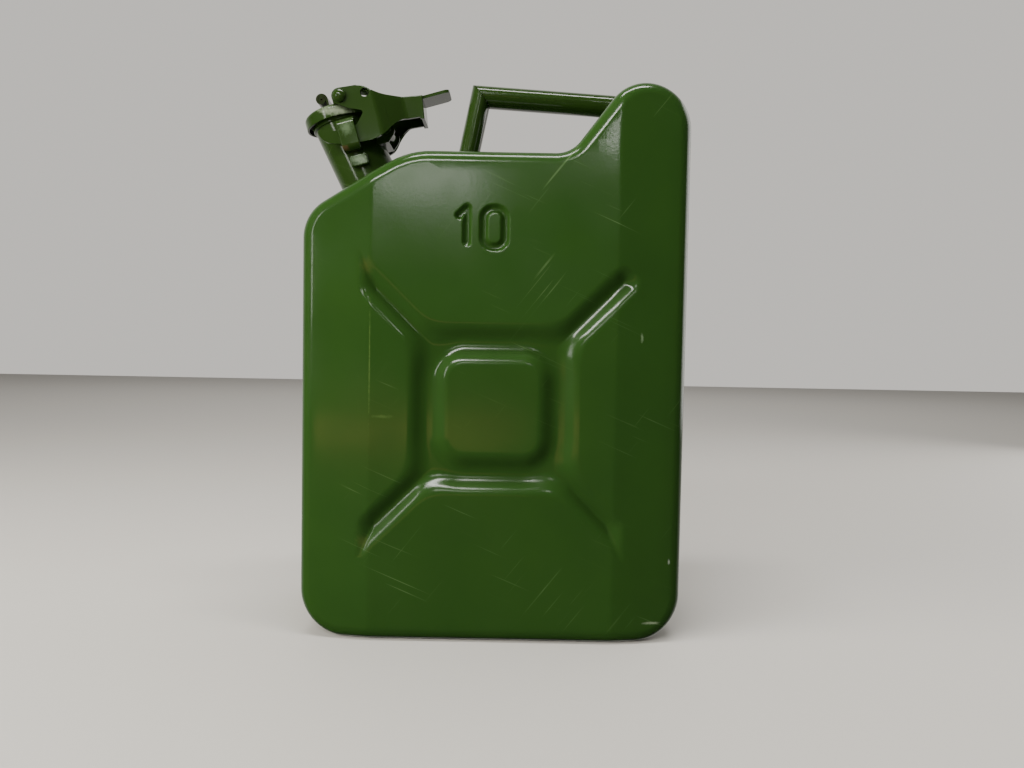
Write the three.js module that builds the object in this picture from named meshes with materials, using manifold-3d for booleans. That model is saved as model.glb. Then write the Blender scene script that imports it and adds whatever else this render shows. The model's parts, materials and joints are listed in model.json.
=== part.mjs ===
// Ten litre steel jerry can: two pressed half shells on a recessed seam, a leaning filler neck,
// a hinged lid with a rubber seal, a hooked clamping lever and a welded carrying handle.
// Millimetres, +Z up. X runs along the can with the spout towards -X, Y runs through its thickness.
import * as THREE from 'three';
import { mergeVertices } from 'three/addons/utils/BufferGeometryUtils.js';
import Module from 'manifold-3d';

const wasm = await Module();
wasm.setup();

const degrees = Math.PI / 180;

// Can body, measured from the middle of its base
const bodyLength = 256;
const bodyThickness = 135;
const deckHeight = 323;
const slopeAngle = 30 * degrees;
const shoulderHeight = 282;
const riseAngle = 53 * degrees;
const riseFoot = 48.4;
const lobeRadius = 29.5;
const baseRadius = 31;
const shoulderRadius = 28;
const slopeRadius = 55;
const dipRadius = 20;
const arcStep = 15 * degrees;

// Pressed sheet
const sheet = 1;
const edgeRadius = 9;
const edgeSteps = 4;
const creaseReach = 80;
const endSetback = 7;
const seamDepth = 3.5;
const seamFlat = 6;
const seamShoulder = 9;
const seamGap = 0.3;

// Cross pressing on both faces
const crossHeight = 155;
const crossDepth = 5;
const crossWall = 8;
const islandHalf = 39.8;
const islandCorner = 15;
const ringHalf = 45.8;
const ringCorner = 8;
const armHalfWidth = 3;
const armStart = 56;
const armEnd = 116;

// Filler neck and mouth
const mouthX = -114.4;
const mouthZ = 354.2;
const mouthLean = 16 * degrees;
const neckLean = 26 * degrees;
const neckRadius = 21;
const boreRadius = 19.6;
const neckLength = 61.7;
const neckOffset = 1.2;
const lipTop = 2;
const lipRadius = 21.9;
const fitGap = 0.3;

// Lid, its bridge and its hinge, in the frame of the mouth
const lidRadius = 25;
const lidHeight = 9;
const lidSheet = 1.6;
const sealInner = 17;
const sealOuter = 22.4;
const sealBottom = 2.3;
const sealTop = 7.1;
const bridgeSheet = 2;
const bridgeWidth = 22;
const bridgeBottom = lidHeight + fitGap;
const bridgeTop = bridgeBottom + bridgeSheet;
const hingeX = 31;
const hingeZ = -15;
const barrelRadius = 4.5;
const pinRadius = 2.5;
const rollX = -7.9;
const rollZ = 18;
const rollRadius = 4.8;
const rollBore = 1.2;
const bridgeRivetPlaces = { bridge_rivet_front: 1.4, bridge_rivet_rear: 12 };
const bridgeRivetShank = 2;

// Clamping lever and what it hooks into
const pivotX = 7.4;
const pivotZ = 11.4;
const pivotBoss = 5.6;
const leverSheet = 2.2;
const leverInside = 25.4;
const tailInside = 11;
const tailEnd = 62.6;
const tailFoot = -18;
const tabTop = 2;
const roofFront = 20.6;
const roofNotch = 30;
const leverRivetShank = 1.9;
const lockHole = { x: 24.8, z: 9.3, radius: 3 };
const strapInside = 28;
const strapSheet = 1.8;
const strapTop = -4;
const strapBottom = -26.4;
const strapFront = 0.3;
const strapRear = 12.6;

// Handle
const handleWidth = 22;
const handleDepth = 15;
const handleWall = 1.5;
const handleCorner = new THREE.Vector3(-13.5, 0, 376.4);
const legLean = 11.3 * degrees;
const gripFall = 3.2 * degrees;

// Breather pipe inside the can
const ventRadius = 4.5;
const ventWall = 1.1;
const ventOffset = 14.6;
const ventRunHeight = 294;

const greenEnamel = { color: 0x3d5a33, roughness: 0.32, metalness: 0.15 };
const blackRubber = { color: 0x151514, roughness: 0.8, metalness: 0 };
const zincedSteel = { color: 0x8d8f8a, roughness: 0.45, metalness: 0.9 };

const jerryCan = new THREE.Group();
const mouth = new THREE.Group();
mouth.position.set(mouthX, 0, mouthZ);
mouth.rotation.y = -mouthLean;
mouth.updateMatrixWorld();
jerryCan.add(mouth);

// Closed solid from a geometry, with its faces turned outwards
function solidOf(geometry) {
  const bare = geometry.clone();
  bare.deleteAttribute('normal');
  bare.deleteAttribute('uv');
  const merged = mergeVertices(bare, 1e-4);
  const points = merged.attributes.position;
  const corners = [...merged.index.array];
  const triangles = [];
  let volume = 0;
  const [a, b, c] = [new THREE.Vector3(), new THREE.Vector3(), new THREE.Vector3()];
  for (let i = 0; i < corners.length; i += 3) {
    const [p, q, r] = corners.slice(i, i + 3);
    if (p === q || q === r || r === p) continue;
    triangles.push([p, q, r]);
    a.fromBufferAttribute(points, p);
    b.fromBufferAttribute(points, q);
    c.fromBufferAttribute(points, r);
    volume += a.dot(b.cross(c));
  }
  const outward = volume < 0 ? triangles.map(([p, q, r]) => [p, r, q]) : triangles;
  return new wasm.Manifold(new wasm.Mesh({
    numProp: 3,
    vertProperties: new Float32Array(points.array),
    triVerts: new Uint32Array(outward.flat()),
  }));
}

function geometryOf(solid) {
  const mesh = solid.getMesh();
  const geometry = new THREE.BufferGeometry();
  geometry.setAttribute('position', new THREE.BufferAttribute(mesh.vertProperties, 3));
  geometry.setIndex(new THREE.BufferAttribute(mesh.triVerts, 1));
  geometry.computeVertexNormals();
  return geometry;
}

function place(parent, name, solid, finish) {
  const mesh = new THREE.Mesh(geometryOf(solid), new THREE.MeshStandardMaterial(finish));
  mesh.name = name;
  parent.add(mesh);
}

// An outline drawn in X and Z, given a width along Y about the middle plane
function acrossY(shape, width) {
  const geometry = new THREE.ExtrudeGeometry(shape, { depth: width, bevelEnabled: false, curveSegments: 6 });
  return geometry.rotateX(Math.PI / 2).translate(0, width / 2, 0);
}

// An outline drawn in Y and Z, given a length along X
function alongX(shape, from, to) {
  const geometry = new THREE.ExtrudeGeometry(shape, { depth: to - from, bevelEnabled: false, curveSegments: 6 });
  const axes = new THREE.Matrix4().makeBasis(
    new THREE.Vector3(0, 1, 0),
    new THREE.Vector3(0, 0, 1),
    new THREE.Vector3(1, 0, 0),
  );
  return geometry.applyMatrix4(axes).translate(from, 0, 0);
}

function rodAcrossY(radius, x, z, from, to) {
  const rod = new THREE.CylinderGeometry(radius, radius, to - from, 24);
  return rod.translate(x, (from + to) / 2, z);
}

function turnedAboutZ(profile, segments) {
  const points = profile.map(([radius, height]) => new THREE.Vector2(radius, height));
  return new THREE.LatheGeometry(points, segments).rotateX(Math.PI / 2);
}

// Everything on the side of a plane that its normal points to
function halfSpace(point, normal) {
  const size = 500;
  const block = new THREE.BoxGeometry(size, size, size).translate(0, 0, size / 2);
  const turn = new THREE.Quaternion().setFromUnitVectors(new THREE.Vector3(0, 0, 1), normal);
  return solidOf(block.applyQuaternion(turn).translate(point.x, point.y, point.z));
}

function roundedSquare(Kind, half, corner) {
  const path = new Kind();
  const inner = half - corner;
  path.absarc(inner, inner, corner, 0, Math.PI / 2);
  path.absarc(-inner, inner, corner, Math.PI / 2, Math.PI);
  path.absarc(-inner, -inner, corner, Math.PI, 1.5 * Math.PI);
  path.absarc(inner, -inner, corner, 1.5 * Math.PI, 2 * Math.PI);
  return path;
}

// Side outline of the can, anticlockwise, each point with its outward normal
function canOutline() {
  const half = bodyLength / 2;
  const peakHeight = deckHeight + (half - riseFoot) * Math.tan(riseAngle);
  const slopeEnd = -half + (deckHeight - shoulderHeight) / Math.tan(slopeAngle);
  const corners = [
    { at: new THREE.Vector2(-half, 0), radius: baseRadius },
    { at: new THREE.Vector2(half, 0), radius: baseRadius },
    { at: new THREE.Vector2(half, peakHeight), radius: lobeRadius },
    { at: new THREE.Vector2(riseFoot, deckHeight), radius: dipRadius },
    { at: new THREE.Vector2(slopeEnd, deckHeight), radius: slopeRadius },
    { at: new THREE.Vector2(-half, shoulderHeight), radius: shoulderRadius },
  ];
  const points = [];
  corners.forEach(({ at, radius }, i) => {
    const before = corners.at(i - 1).at;
    const after = corners[(i + 1) % corners.length].at;
    const arriving = at.clone().sub(before).normalize();
    const leaving = after.clone().sub(at).normalize();
    const turn = Math.atan2(arriving.cross(leaving), arriving.dot(leaving));
    const start = at.clone().addScaledVector(arriving, -radius * Math.tan(Math.abs(turn) / 2));
    const towards = new THREE.Vector2(-arriving.y, arriving.x).multiplyScalar(Math.sign(turn));
    const centre = start.clone().addScaledVector(towards, radius);
    const steps = Math.ceil(Math.abs(turn) / arcStep);
    for (let k = 0; k <= steps; k++) {
      const angle = turn * k / steps;
      const point = start.clone().rotateAround(centre, angle);
      const normal = new THREE.Vector2(arriving.y, -arriving.x).rotateAround(new THREE.Vector2(), angle);
      points.push({ point, normal });
    }
  });
  return points;
}

// The vertical creases end on straight runs of the outline, which get a point there
function withCreases(outline) {
  const points = [];
  outline.forEach((here, i) => {
    const next = outline[(i + 1) % outline.length];
    points.push(here);
    if (here.normal.distanceTo(next.normal) > 1e-6) return;
    const run = next.point.x - here.point.x;
    const hits = [-creaseReach, creaseReach]
      .map((crease) => (crease + here.normal.x * edgeRadius - here.point.x) / run)
      .filter((share) => share > 0 && share < 1)
      .sort((a, b) => a - b);
    for (const share of hits) {
      const point = here.point.clone().lerp(next.point, share);
      points.push({ point, normal: here.normal, crease: true });
    }
  });
  return points;
}

// The face is flat between the creases and falls back towards both ends
function faceReach(x) {
  const beyond = Math.max(0, Math.abs(x) - creaseReach);
  return bodyThickness / 2 - endSetback * beyond / (bodyLength / 2 - creaseReach);
}

// One half of the can as a solid skin, offset inwards by skin and starting at the seam
function pressedHalf(side, skin, seamStart) {
  const outline = withCreases(canOutline());
  const radius = edgeRadius - skin;
  const rings = [
    { inset: seamDepth + skin, reach: () => seamStart },
    { inset: seamDepth + skin, reach: () => seamFlat + skin / 2 },
    { inset: skin, reach: () => seamShoulder + skin / 2 },
  ];
  for (let k = 0; k <= edgeSteps; k++) {
    const angle = k / edgeSteps * Math.PI / 2;
    rings.push({
      inset: skin + radius * (1 - Math.cos(angle)),
      reach: (x) => faceReach(x) - edgeRadius + radius * Math.sin(angle),
    });
  }
  const count = outline.length;
  const positions = [];
  for (const { inset, reach } of rings) {
    for (const { point, normal } of outline) {
      const x = point.x - normal.x * inset;
      positions.push(x, side * reach(x), point.y - normal.y * inset);
    }
  }
  const triangles = [];
  for (let ring = 0; ring + 1 < rings.length; ring++) {
    for (let i = 0; i < count; i++) {
      const [a, b] = [ring * count + i, ring * count + (i + 1) % count];
      triangles.push(a, b, b + count, a, b + count, a + count);
    }
  }
  const flat = (index) => new THREE.Vector2(positions[3 * index], positions[3 * index + 2]);
  const fill = (loop, turned) => {
    for (const [a, b, c] of THREE.ShapeUtils.triangulateShape(loop.map(flat), [])) {
      triangles.push(loop[a], loop[turned ? c : b], loop[turned ? b : c]);
    }
  };
  const last = (rings.length - 1) * count;
  fill(outline.map((_, i) => i), true);
  const creases = outline.flatMap((entry, i) => (entry.crease ? [i] : []));
  const [lowFront, lowRear, highRear, highFront] = creases;
  const between = (from, to) => {
    const length = (to - from + count) % count;
    return Array.from({ length: length + 1 }, (_, i) => last + (from + i) % count);
  };
  fill(between(lowRear, highRear), false);
  fill(between(highFront, lowFront), false);
  fill([...between(lowFront, lowRear), ...between(highRear, highFront)], false);
  const geometry = new THREE.BufferGeometry();
  geometry.setAttribute('position', new THREE.Float32BufferAttribute(positions, 3));
  geometry.setIndex(triangles);
  return solidOf(geometry);
}

// The cross pressing as a cutter: a ring round a flat island, with four arms on the diagonals
function crossCutter(side, skin) {
  const settings = {
    depth: 2,
    bevelThickness: crossDepth + skin,
    bevelSize: crossWall,
    bevelSegments: 1,
    curveSegments: 4,
  };
  const grown = skin * 0.6;
  const ring = roundedSquare(THREE.Shape, ringHalf + grown, ringCorner + grown);
  ring.holes.push(roundedSquare(THREE.Path, islandHalf - grown, islandCorner - grown));
  let cutter = solidOf(new THREE.ExtrudeGeometry(ring, settings));
  const halfWidth = armHalfWidth + grown;
  for (let quarter = 0; quarter < 4; quarter++) {
    const arm = new THREE.Shape();
    arm.absarc(armStart, 0, halfWidth, Math.PI / 2, 1.5 * Math.PI);
    arm.absarc(armEnd, 0, halfWidth, -Math.PI / 2, Math.PI / 2);
    const bar = new THREE.ExtrudeGeometry(arm, settings);
    cutter = cutter.add(solidOf(bar.rotateZ((quarter + 0.5) * Math.PI / 2)));
  }
  const placed = geometryOf(cutter).rotateX(Math.PI / 2).translate(0, -bodyThickness / 2, crossHeight);
  return solidOf(placed.rotateZ(side < 0 ? 0 : Math.PI));
}

// A straight cylinder on the neck's own axis, measured from the mouth, in the frame of the mouth
function neckCylinder(radius, from, to) {
  const cylinder = new THREE.CylinderGeometry(radius, radius, to - from, 40);
  cylinder.rotateX(Math.PI / 2).translate(0, 0, (from + to) / 2);
  return cylinder.rotateY(mouthLean - neckLean).translate(neckOffset, 0, lipTop);
}

function addShells() {
  const throughTop = solidOf(neckCylinder(neckRadius + fitGap, -90, -20).applyMatrix4(mouth.matrixWorld));
  for (const [name, side] of [['shell_near', -1], ['shell_far', 1]]) {
    const outside = pressedHalf(side, 0, seamGap / 2).subtract(crossCutter(side, 0));
    const inside = pressedHalf(side, sheet, -1).subtract(crossCutter(side, sheet));
    place(jerryCan, name, outside.subtract(inside).subtract(throughTop), greenEnamel);
  }
}

// The neck is a tube with a rolled lip, cut square to the lid rather than to its own axis
function addNeck() {
  const lipRound = 1;
  const lip = turnedAboutZ([
    [boreRadius - 1, -2.2],
    [lipRadius - lipRound, -2.2],
    [lipRadius, lipRound - 2.2],
    [lipRadius, lipTop - lipRound],
    [lipRadius - lipRound, lipTop],
    [boreRadius - 1, lipTop],
    [boreRadius - 1, -2.2],
  ], 40).translate(neckOffset, 0, 0);
  const above = halfSpace(new THREE.Vector3(0, 0, lipTop - 0.5), new THREE.Vector3(0, 0, 1));
  const tube = solidOf(neckCylinder(neckRadius, -neckLength, 10)).subtract(above).add(solidOf(lip));
  place(mouth, 'filler_neck', tube.subtract(solidOf(neckCylinder(boreRadius, -90, 20))), greenEnamel);
}

function mirroredAcrossY(geometry, side) {
  return geometry.scale(1, side, 1);
}

// Each strap stands off the neck like a belt loop, so that a hook of the lever can pass through it
function addStraps() {
  const outer = strapInside + strapSheet;
  const root = 17;
  const bend = 4;
  const section = new THREE.Shape();
  section.moveTo(root, strapTop);
  section.lineTo(outer - bend, strapTop);
  section.quadraticCurveTo(outer, strapTop, outer, strapTop - bend);
  section.lineTo(outer, strapBottom + bend);
  section.quadraticCurveTo(outer, strapBottom, outer - bend, strapBottom);
  section.lineTo(root, strapBottom);
  section.lineTo(root, strapBottom + strapSheet);
  section.lineTo(strapInside, strapBottom + strapSheet);
  section.lineTo(strapInside, strapTop - strapSheet);
  section.lineTo(root, strapTop - strapSheet);
  const neck = solidOf(neckCylinder(neckRadius + fitGap, -90, 20));
  for (const [name, side] of [['neck_strap_near', -1], ['neck_strap_far', 1]]) {
    const loop = solidOf(mirroredAcrossY(alongX(section, strapFront, strapRear), side));
    place(mouth, name, loop.subtract(neck), greenEnamel);
  }
}

// Short lugs lower on the neck take the clamp of a pouring spout
function addSpoutLugs() {
  const face = new THREE.Shape();
  const [left, right, low, high, corner] = [2.4, 14.8, -37.4, -29.6, 2];
  face.absarc(right - corner, high - corner, corner, 0, Math.PI / 2);
  face.absarc(left + corner, high - corner, corner, Math.PI / 2, Math.PI);
  face.absarc(left + corner, low + corner, corner, Math.PI, 1.5 * Math.PI);
  face.absarc(right - corner, low + corner, corner, 1.5 * Math.PI, 2 * Math.PI);
  const neck = solidOf(neckCylinder(neckRadius + fitGap, -90, 20));
  const reach = 25;
  const root = 14;
  for (const [name, side] of [['spout_lug_near', -1], ['spout_lug_far', 1]]) {
    const block = acrossY(face, reach - root).translate(0, (reach + root) / 2, 0);
    place(mouth, name, solidOf(mirroredAcrossY(block, side)).subtract(neck), greenEnamel);
  }
}

// The hinge bracket is a channel welded to the back of the neck, with a pin peened over in its cheeks
function addHinge() {
  const cheek = bridgeWidth / 2 + 0.4;
  const outer = cheek + leverSheet;
  const [front, boss] = [16, 6.5];
  const [floor, crown] = [hingeZ - boss - leverSheet, hingeZ + boss];
  const channel = new THREE.Shape([
    new THREE.Vector2(-outer, crown),
    new THREE.Vector2(-outer, floor),
    new THREE.Vector2(outer, floor),
    new THREE.Vector2(outer, crown),
    new THREE.Vector2(cheek, crown),
    new THREE.Vector2(cheek, floor + leverSheet),
    new THREE.Vector2(-cheek, floor + leverSheet),
    new THREE.Vector2(-cheek, crown),
  ]);
  const side = new THREE.Shape();
  side.moveTo(front, floor);
  side.lineTo(hingeX, floor);
  side.absarc(hingeX, hingeZ, boss, -Math.PI / 4, Math.PI / 2);
  side.lineTo(front, crown);
  const neck = solidOf(neckCylinder(neckRadius + fitGap, -90, 20));
  const bore = solidOf(rodAcrossY(pinRadius + fitGap, hingeX, hingeZ, -40, 40));
  const bracket = solidOf(alongX(channel, front, hingeX + boss)).intersect(solidOf(acrossY(side, 80)));
  place(mouth, 'hinge_bracket', bracket.subtract(neck).subtract(bore), greenEnamel);
  const end = outer + fitGap;
  const head = [4, 1.5];
  const profile = [
    [0, -end - head[1]],
    [head[0], -end - head[1]],
    [head[0], -end],
    [pinRadius, -end],
    [pinRadius, end],
    [head[0], end],
    [head[0], end + head[1]],
    [0, end + head[1]],
  ];
  const points = profile.map(([radius, y]) => new THREE.Vector2(radius, y));
  const pin = new THREE.LatheGeometry(points, 24).translate(hingeX, 0, hingeZ);
  place(mouth, 'hinge_pin', solidOf(pin), greenEnamel);
}

// Outer profile of the lid from its rim up to its middle, grown by a gap
function lidTop(gap) {
  const round = 3;
  return [
    [lidRadius + gap, 0],
    [lidRadius + gap, lidHeight - round],
    [lidRadius - 0.3 * round + gap, lidHeight - 0.3 * round + gap],
    [lidRadius - round, lidHeight + gap],
    [0, lidHeight + gap],
  ];
}

function addLid() {
  const inner = lidRadius - lidSheet;
  const ceiling = lidHeight - lidSheet;
  const profile = [
    [0, ceiling],
    [inner - 1, ceiling],
    [inner, ceiling - 1],
    [inner, 0],
    ...lidTop(0),
  ];
  let cup = solidOf(turnedAboutZ(profile, 48));
  for (const x of Object.values(bridgeRivetPlaces)) {
    const drill = new THREE.CylinderGeometry(bridgeRivetShank + fitGap, bridgeRivetShank + fitGap, 30, 16);
    cup = cup.subtract(solidOf(drill.rotateX(Math.PI / 2).translate(x, 0, 0)));
  }
  place(mouth, 'lid', cup, greenEnamel);
  const ring = [
    [sealInner, sealBottom],
    [sealOuter, sealBottom],
    [sealOuter, sealTop],
    [sealInner, sealTop],
    [sealInner, sealBottom],
  ];
  place(mouth, 'lid_gasket', solidOf(turnedAboutZ(ring, 40)), blackRubber);
}

// One strap carries the lid: rolled into a finger grip in front, bent down to the hinge behind,
// with two ears on a cross piece for the lever's rivets
function addBridge() {
  const armOuter = hingeX - barrelRadius + bridgeSheet;
  const bend = 7;
  const strap = new THREE.Shape();
  const legFront = rollX + rollRadius - bridgeSheet;
  strap.moveTo(legFront, rollZ);
  strap.lineTo(legFront, bridgeBottom);
  strap.lineTo(armOuter - bend, bridgeBottom);
  strap.absarc(armOuter - bend, bridgeTop - bend, bend - bridgeSheet, Math.PI / 2, 0, true);
  strap.lineTo(armOuter - bridgeSheet, hingeZ);
  strap.lineTo(armOuter, hingeZ);
  strap.lineTo(armOuter, bridgeTop - bend);
  strap.absarc(armOuter - bend, bridgeTop - bend, bend, 0, Math.PI / 2);
  strap.lineTo(legFront + bridgeSheet, bridgeTop);
  strap.lineTo(legFront + bridgeSheet, rollZ);
  const half = bridgeWidth / 2;
  const ear = new THREE.Shape();
  const earRadius = pivotBoss + 0.2;
  const earFoot = lidHeight - 3;
  ear.moveTo(pivotX - earRadius, earFoot);
  ear.lineTo(pivotX + earRadius, earFoot);
  ear.absarc(pivotX, pivotZ, earRadius, 0, Math.PI);
  const earOuter = leverInside - fitGap;
  const plate = new THREE.BoxGeometry(2 * earRadius, 2 * earOuter, bridgeSheet);
  let bridge = solidOf(acrossY(strap, bridgeWidth))
    .add(solidOf(rodAcrossY(rollRadius, rollX, rollZ, -half, half)))
    .add(solidOf(rodAcrossY(barrelRadius, hingeX, hingeZ, -half, half)))
    .add(solidOf(plate.translate(pivotX, 0, (bridgeBottom + bridgeTop) / 2)));
  for (const side of [-1, 1]) {
    const middle = side * (earOuter - leverSheet / 2);
    bridge = bridge.add(solidOf(acrossY(ear, leverSheet).translate(0, middle, 0)));
    const hole = rodAcrossY(leverRivetShank + fitGap, pivotX, pivotZ, -4, 4).translate(0, middle, 0);
    bridge = bridge.subtract(solidOf(hole));
  }
  bridge = bridge
    .subtract(solidOf(turnedAboutZ([[0, 0], ...lidTop(fitGap)], 48)))
    .subtract(solidOf(rodAcrossY(rollBore, rollX, rollZ, -40, 40)))
    .subtract(solidOf(rodAcrossY(pinRadius + fitGap, hingeX, hingeZ, -40, 40)));
  for (const x of Object.values(bridgeRivetPlaces)) {
    const drill = new THREE.CylinderGeometry(bridgeRivetShank + fitGap, bridgeRivetShank + fitGap, 30, 16);
    bridge = bridge.subtract(solidOf(drill.rotateX(Math.PI / 2).translate(x, 0, 0)));
  }
  place(mouth, 'lid_bridge', bridge, greenEnamel);
}

function addBridgeRivets() {
  const foot = lidHeight - lidSheet - fitGap;
  const seat = bridgeTop + fitGap;
  for (const [name, x] of Object.entries(bridgeRivetPlaces)) {
    const profile = [
      [0, foot - 1.2],
      [3.2, foot - 1.2],
      [3.2, foot],
      [bridgeRivetShank, foot],
      [bridgeRivetShank, seat],
      [4, seat],
      [3.4, seat + 1.4],
      [1.8, seat + 2.2],
      [0, seat + 2.4],
    ];
    place(mouth, name, solidOf(turnedAboutZ(profile, 20).translate(x, 0, 0)), greenEnamel);
  }
}

// Side view of the lever: an upper jaw on the rivet, a throat behind the lid's rim,
// a lower jaw that ends in the hook, a belly and a tail whose end hangs down
function leverSide() {
  const outline = new THREE.Shape();
  outline.absarc(pivotX, pivotZ, pivotBoss, 80 * degrees, 245 * degrees);
  outline.lineTo(11, 2);
  outline.lineTo(19, -1.6);
  outline.quadraticCurveTo(20.8, -2.8, 19.3, -4.6);
  outline.lineTo(14.4, -10);
  outline.quadraticCurveTo(3, -14.4, -11.8, -7.2);
  outline.quadraticCurveTo(-14.2, -8.2, -13.4, -11);
  outline.quadraticCurveTo(-11.6, -16, -8, -18);
  outline.quadraticCurveTo(2, -22, 14, -22.6);
  outline.quadraticCurveTo(28, -24.6, 34.5, -18);
  outline.quadraticCurveTo(40, -12.6, 46.5, -11.4);
  outline.lineTo(57, -12.6);
  outline.lineTo(tailEnd - 6, tailFoot);
  outline.lineTo(tailEnd - 3.6, tailFoot - 0.6);
  outline.lineTo(tailEnd, tabTop);
  outline.quadraticCurveTo(48, 4.6, 39, 6.4);
  outline.quadraticCurveTo(33, 7.6, 28.6, 11);
  outline.quadraticCurveTo(24.6, 15.4, 19, 15.8);
  return outline;
}

// Seen from above the lever is wide over the lid and draws in to a narrow tail
function leverPlan(half, tailHalf, rear) {
  const [tip, drawFrom, drawTo] = [-16, 30, 48];
  const plan = new THREE.Shape([
    new THREE.Vector2(tip, -half),
    new THREE.Vector2(drawFrom, -half),
    new THREE.Vector2(drawTo, -tailHalf),
    new THREE.Vector2(rear, -tailHalf),
    new THREE.Vector2(rear, tailHalf),
    new THREE.Vector2(drawTo, tailHalf),
    new THREE.Vector2(drawFrom, half),
    new THREE.Vector2(tip, half),
  ]);
  const depth = 60;
  return solidOf(new THREE.ExtrudeGeometry(plan, { depth, bevelEnabled: false }).translate(0, 0, -depth / 2));
}

function thumbTab() {
  const reach = 82;
  const corner = 4;
  const root = tailEnd - leverSheet;
  const tab = new THREE.Shape();
  tab.moveTo(root, -tailInside);
  tab.lineTo(reach - corner, -tailInside);
  tab.absarc(reach - corner, corner - tailInside, corner, -Math.PI / 2, 0);
  tab.absarc(reach - corner, tailInside - corner, corner, 0, Math.PI / 2);
  tab.lineTo(root, tailInside);
  const plate = new THREE.ExtrudeGeometry(tab, { depth: leverSheet, bevelEnabled: false, curveSegments: 5 });
  return solidOf(plate.translate(0, 0, tabTop - leverSheet));
}

// The lever is one sheet folded into a channel: two cheeks, a roof behind the rivets, a closed end and a tab.
// A notch in the roof clears the bridge's roll when the lever is thrown over
function addLever() {
  const side = acrossY(leverSide(), 80);
  const skin = leverSheet / 2;
  const blank = leverPlan(leverInside + leverSheet, tailInside + leverSheet, tailEnd);
  const cheeks = blank.intersect(solidOf(side)).subtract(leverPlan(leverInside, tailInside, tailEnd + 1));
  const core = leverPlan(leverInside + skin, tailInside + skin, tailEnd).intersect(solidOf(side));
  const wallFacing = (x, z, front) => core
    .subtract(solidOf(side.clone().translate(-x * leverSheet, 0, -z * leverSheet)))
    .intersect(halfSpace(new THREE.Vector3(front, 0, 0), new THREE.Vector3(1, 0, 0)));
  const notchLength = roofNotch - roofFront + 2;
  const notch = new THREE.BoxGeometry(notchLength, bridgeWidth + 2, 40);
  const lever = cheeks
    .add(wallFacing(0, 1, roofFront).subtract(solidOf(notch.translate(roofNotch - notchLength / 2, 0, 0))))
    .add(wallFacing(1, 0, tailEnd - 8))
    .add(thumbTab())
    .subtract(solidOf(rodAcrossY(leverRivetShank + fitGap, pivotX, pivotZ, -40, 40)))
    .subtract(solidOf(rodAcrossY(lockHole.radius, lockHole.x, lockHole.z, -40, 40)));
  place(mouth, 'lever', lever, greenEnamel);
}

function addLeverRivets() {
  const seat = leverInside + leverSheet + fitGap;
  const root = leverInside - fitGap - leverSheet;
  const headRadius = 4.7;
  const headHeight = 3.2;
  const profile = [
    new THREE.Vector2(0, root),
    new THREE.Vector2(leverRivetShank, root),
    new THREE.Vector2(leverRivetShank, seat),
  ];
  for (let k = 0; k <= 4; k++) {
    const angle = k / 4 * Math.PI / 2;
    profile.push(new THREE.Vector2(headRadius * Math.cos(angle), seat + headHeight * Math.sin(angle)));
  }
  profile[profile.length - 1].x = 0;
  for (const [name, side] of [['lever_rivet_near', -1], ['lever_rivet_far', 1]]) {
    const rivet = new THREE.LatheGeometry(profile, 24).scale(1, side, 1).translate(pivotX, 0, pivotZ);
    place(mouth, name, solidOf(rivet), greenEnamel);
  }
}

function ovalTube(wall) {
  const section = new THREE.Shape();
  section.absellipse(0, 0, handleWidth / 2, handleDepth / 2, 0, 2 * Math.PI);
  const hole = new THREE.Path();
  hole.absellipse(0, 0, handleWidth / 2 - wall, handleDepth / 2 - wall, 0, 2 * Math.PI);
  section.holes.push(hole);
  return section;
}

// The handle is rolled tube, mitred and welded at its front corner
function addHandle() {
  const up = new THREE.Vector3(Math.sin(legLean), 0, Math.cos(legLean));
  const rear = new THREE.Vector3(Math.cos(gripFall), 0, -Math.sin(gripFall));
  const inward = rear.clone().sub(up).normalize();
  const across = new THREE.Vector3(-inward.z, 0, inward.x);
  const backOff = across.clone().multiplyScalar(seamGap / 2);
  const deck = halfSpace(new THREE.Vector3(0, 0, deckHeight + fitGap), new THREE.Vector3(0, 0, -1));
  const legPath = new THREE.LineCurve3(
    handleCorner.clone().addScaledVector(up, -70),
    handleCorner.clone().addScaledVector(up, 20),
  );
  const settings = { steps: 1, curveSegments: 8 };
  const leg = new THREE.ExtrudeGeometry(ovalTube(handleWall), { ...settings, extrudePath: legPath });
  const cutLeg = halfSpace(handleCorner.clone().sub(backOff), across);
  place(jerryCan, 'handle_leg', solidOf(leg).subtract(cutLeg).subtract(deck), greenEnamel);
  const straight = 86;
  const bendStart = handleCorner.clone().addScaledVector(rear, straight);
  const gripPath = new THREE.CurvePath();
  gripPath.add(new THREE.LineCurve3(handleCorner.clone().addScaledVector(rear, -20), bendStart));
  gripPath.add(new THREE.QuadraticBezierCurve3(
    bendStart,
    bendStart.clone().addScaledVector(rear, 16),
    new THREE.Vector3(99, 0, 352),
  ));
  const grip = new THREE.ExtrudeGeometry(ovalTube(handleWall), { ...settings, steps: 12, extrudePath: gripPath });
  const lobe = canOutline().slice(2 * Math.ceil(Math.PI / 2 / arcStep) + 2)[0];
  const lobeX = lobe.point.x - lobe.normal.x * lobeRadius;
  const lobeZ = lobe.point.y - lobe.normal.y * lobeRadius;
  const lobeBar = new THREE.CylinderGeometry(lobeRadius + fitGap, lobeRadius + fitGap, 100, 64);
  const cutGrip = halfSpace(handleCorner.clone().add(backOff), across.clone().negate());
  const fitted = solidOf(grip).subtract(cutGrip).subtract(solidOf(lobeBar.translate(lobeX, 0, lobeZ)));
  place(jerryCan, 'handle_grip', fitted, greenEnamel);
}

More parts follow.
